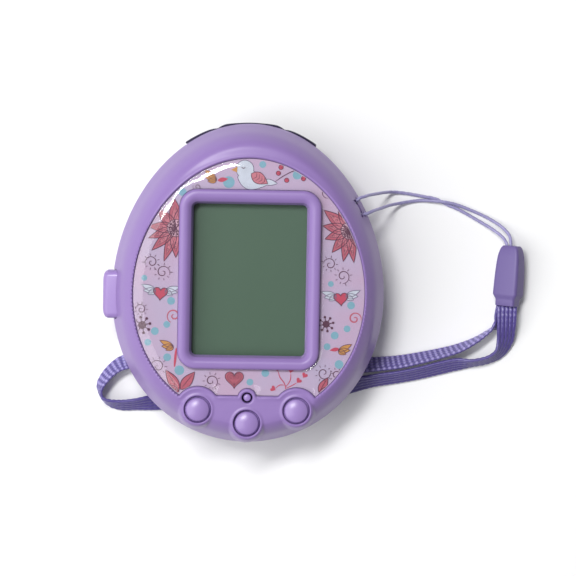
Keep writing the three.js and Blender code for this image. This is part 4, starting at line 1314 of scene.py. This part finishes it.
# ---- Finishes of the parts that keep their CAD shape ----
INNER_FINISHES = {
    "lcd_glass": dict(colour=(76, 100, 82), second=(72, 96, 80), roughness=0.32, grain=900, bump=0.01,
                      patch=60),
    "dark_plastic": dict(colour=(34, 34, 38), second=(42, 42, 46), roughness=0.5),
    "dark_rubber": dict(colour=(54, 54, 58), second=(40, 40, 44), roughness=0.7, patch=2000),
    "pad_rubber": dict(colour=(176, 172, 186), second=(168, 164, 180), roughness=0.6),
    "board": dict(colour=(38, 100, 56), second=(30, 84, 48), roughness=0.4, patch=900),
    "nickel": dict(colour=(188, 190, 194), second=(204, 206, 208), roughness=0.28, metallic=1.0),
    "cell_steel": dict(colour=(198, 200, 204), second=(212, 213, 216), roughness=0.22, metallic=1.0,
                       patch=400),
    "screw_steel": dict(colour=(170, 172, 176), second=(198, 199, 202), roughness=0.3, metallic=1.0),
    "brass_disc": dict(colour=(190, 150, 70), second=(204, 166, 86), roughness=0.32, metallic=1.0),
    "led_lens": dict(colour=(206, 200, 220), second=(214, 210, 226), roughness=0.12),
}


def finish_cad_nodes():
    """Gives every CAD node that stays the finish of its material slot."""
    made = {}
    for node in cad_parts.values():
        slot = node.data.materials[0].name
        if slot in INNER_FINISHES:
            if slot not in made:
                made[slot] = textured(slot + "_finish", **INNER_FINISHES[slot])
            node.data.materials[0] = made[slot]


def fibre(name, lit, shaded, roughness, pitch):
    """Thread with a sheen and fine filaments."""
    material = textured(name, lit, shaded, roughness, grain=9000, bump=0.25, patch=pitch)
    shader(material, Coat_Weight=0.35, Coat_Roughness=0.25, Sheen_Weight=0.3, Sheen_Roughness=0.4,
           Sheen_Tint=srgb((200, 190, 255)))
    return material


def paint_stitch_highlights(material, colour):
    """Painted highlight: blend to a paler yarn where a stitch stands up and faces the key light, as the
    ribbon's painted highlight attribute tells.
    """
    principled = shader(material)
    plain = principled.inputs["Base Color"].links[0].from_node
    # Painted highlight strength, written on the ribbon's points by wrist_ribbon.
    painted_highlight = add_node(material, "Attribute")
    painted_highlight.attribute_name = "painted_highlight"
    reach = add_node(material, "MapRange", From_Min=0.4, From_Max=1.1)
    blend = colour_mix(material, B=colour)
    connect(
        material,
        (painted_highlight, "Fac", reach, "Value"),
        (reach, "Result", blend, "Factor"),
        (plain, "Result", blend, "A"),
        (blend, "Result", principled, "Base Color"),
    )


# ---- Light and floor ----
def area_light(name, azimuth, tilt, distance, width, height, power):
    """Softbox aimed at the toy; azimuth from +X, tilt away from straight up, in degrees."""
    lamp = bpy.data.lights.new(name, "AREA")
    lamp.shape = "RECTANGLE"
    lamp.size = width
    lamp.size_y = height
    lamp.energy = power
    a, t = math.radians(azimuth), math.radians(tilt)
    out = Vector((math.sin(t) * math.cos(a), math.sin(t) * math.sin(a), math.cos(t)))
    obj = bpy.data.objects.new(name, lamp)
    across = Vector((-math.sin(a), math.cos(a), 0))
    up = out.cross(across)
    target = Vector((0, 0, 20 * MM))
    obj.matrix_world = placed(target + out * distance, across, up, out)
    add_to_scene(obj)


def add_studio():
    mesh = loft([flat_ring(rounded_rect(1600, 1600, 200), z) for z in (-6, -0.02)])
    mesh.transform(Matrix.Scale(MM, 4))
    floor = bpy.data.objects.new("floor", mesh)
    paper = textured("paper_white", (234, 234, 234), (236, 236, 236), 0.9, patch=20, bump=0.01)
    shader(paper, Emission_Color=(1, 1, 1, 1), Emission_Strength=0.05)
    floor.data.materials.append(paper)
    add_to_scene(floor)
    area_light("key", 124, 25, 1.0, 0.41, 0.15, 7.4)
    area_light("fill_left", 192, 41, 1.3, 1.3, 1.2, 14.0)
    world = bpy.data.worlds.new("world")
    world.use_nodes = True
    sky = world.node_tree.nodes["Background"]
    sky.inputs["Color"].default_value = (0.93, 0.95, 1, 1)
    sky.inputs["Strength"].default_value = 0.14
    bpy.context.scene.world = world
    bpy.context.scene.view_settings.view_transform = "Standard"


# ---- Assembly ----
add_camera()

cord_material = fibre("cord_fibre", (158, 152, 192), (136, 130, 178), 0.5, 3000)
cord, cord_line, cord_length = loop_cord(cord_material)
ribbon_material = fibre("ribbon_yarn", (88, 75, 146), (76, 65, 130), 0.34, 2500)
# Painted highlight: a pale yarn colour laid on the stitch crests that face the key light.
paint_stitch_highlights(ribbon_material, (166, 156, 214))
ribbon, ribbon_middle, ribbon_length = wrist_ribbon(ribbon_material)
cap = piece("strap_cap_moulded", strap_cap(), CAP_PLASTIC, "case", ["strap_cap"])

piece("front_shell_moulded", front_shell(), SHELL, "case", ["front_shell"])
piece("back_shell_moulded", back_shell(), SHELL, "case", ["back_shell"])
piece("battery_cover_moulded", battery_cover(), SHELL, "battery_lid", ["battery_cover"])
piece("ir_window_moulded", ir_window(), IR_DARK, "case", ["ir_window"])
for side in BUTTONS:
    button = front_button(side)
    piece("button_cap_" + side, button, BUTTON, side + "_button", ["button_" + side])
piece("reset_post", reset_pin(), BUTTON, "reset_key", ["reset_pin"])
piece("side_key_cap", side_button(), BUTTON, "side_key", ["side_button"])
for i, (x, y) in enumerate(SCREW_POSTS, 1):
    case_screw = screw(x, y, 6.7, 1.75, 1.3, 0.7, 15.6)
    piece(f"case_screw_turned_{i}", case_screw, STEEL, "case", [f"case_screw_{i}"])
cover_screw = screw(0, COVER["screw_y"], 0.45, 1.75, 0.95, 0.7, 7.6)
piece("cover_screw_turned", cover_screw, STEEL, "battery_lid", ["battery_cover_screw"])
add_faceplate()
cover_mesh, cover_normals = clear_cover()
cover = piece("cover_sheet", cover_mesh, CLEAR, "case", ["faceplate_cover"], sharp=180)
cover.data.normals_split_custom_set_from_vertices([tuple(n) for n in cover_normals])
window = loft([flat_ring(rounded_rect(12.25 - inset, 16.05 - inset, 1.1, 0, OPENING["y"]), z)
               for z, inset in ((17.9, 0), (18.75, 0), (18.9, 0.15))])
piece("screen_window", window, SCREEN_CLEAR, "case", ["lcd_window"], sharp=20)

finish_cad_nodes()
add_studio()
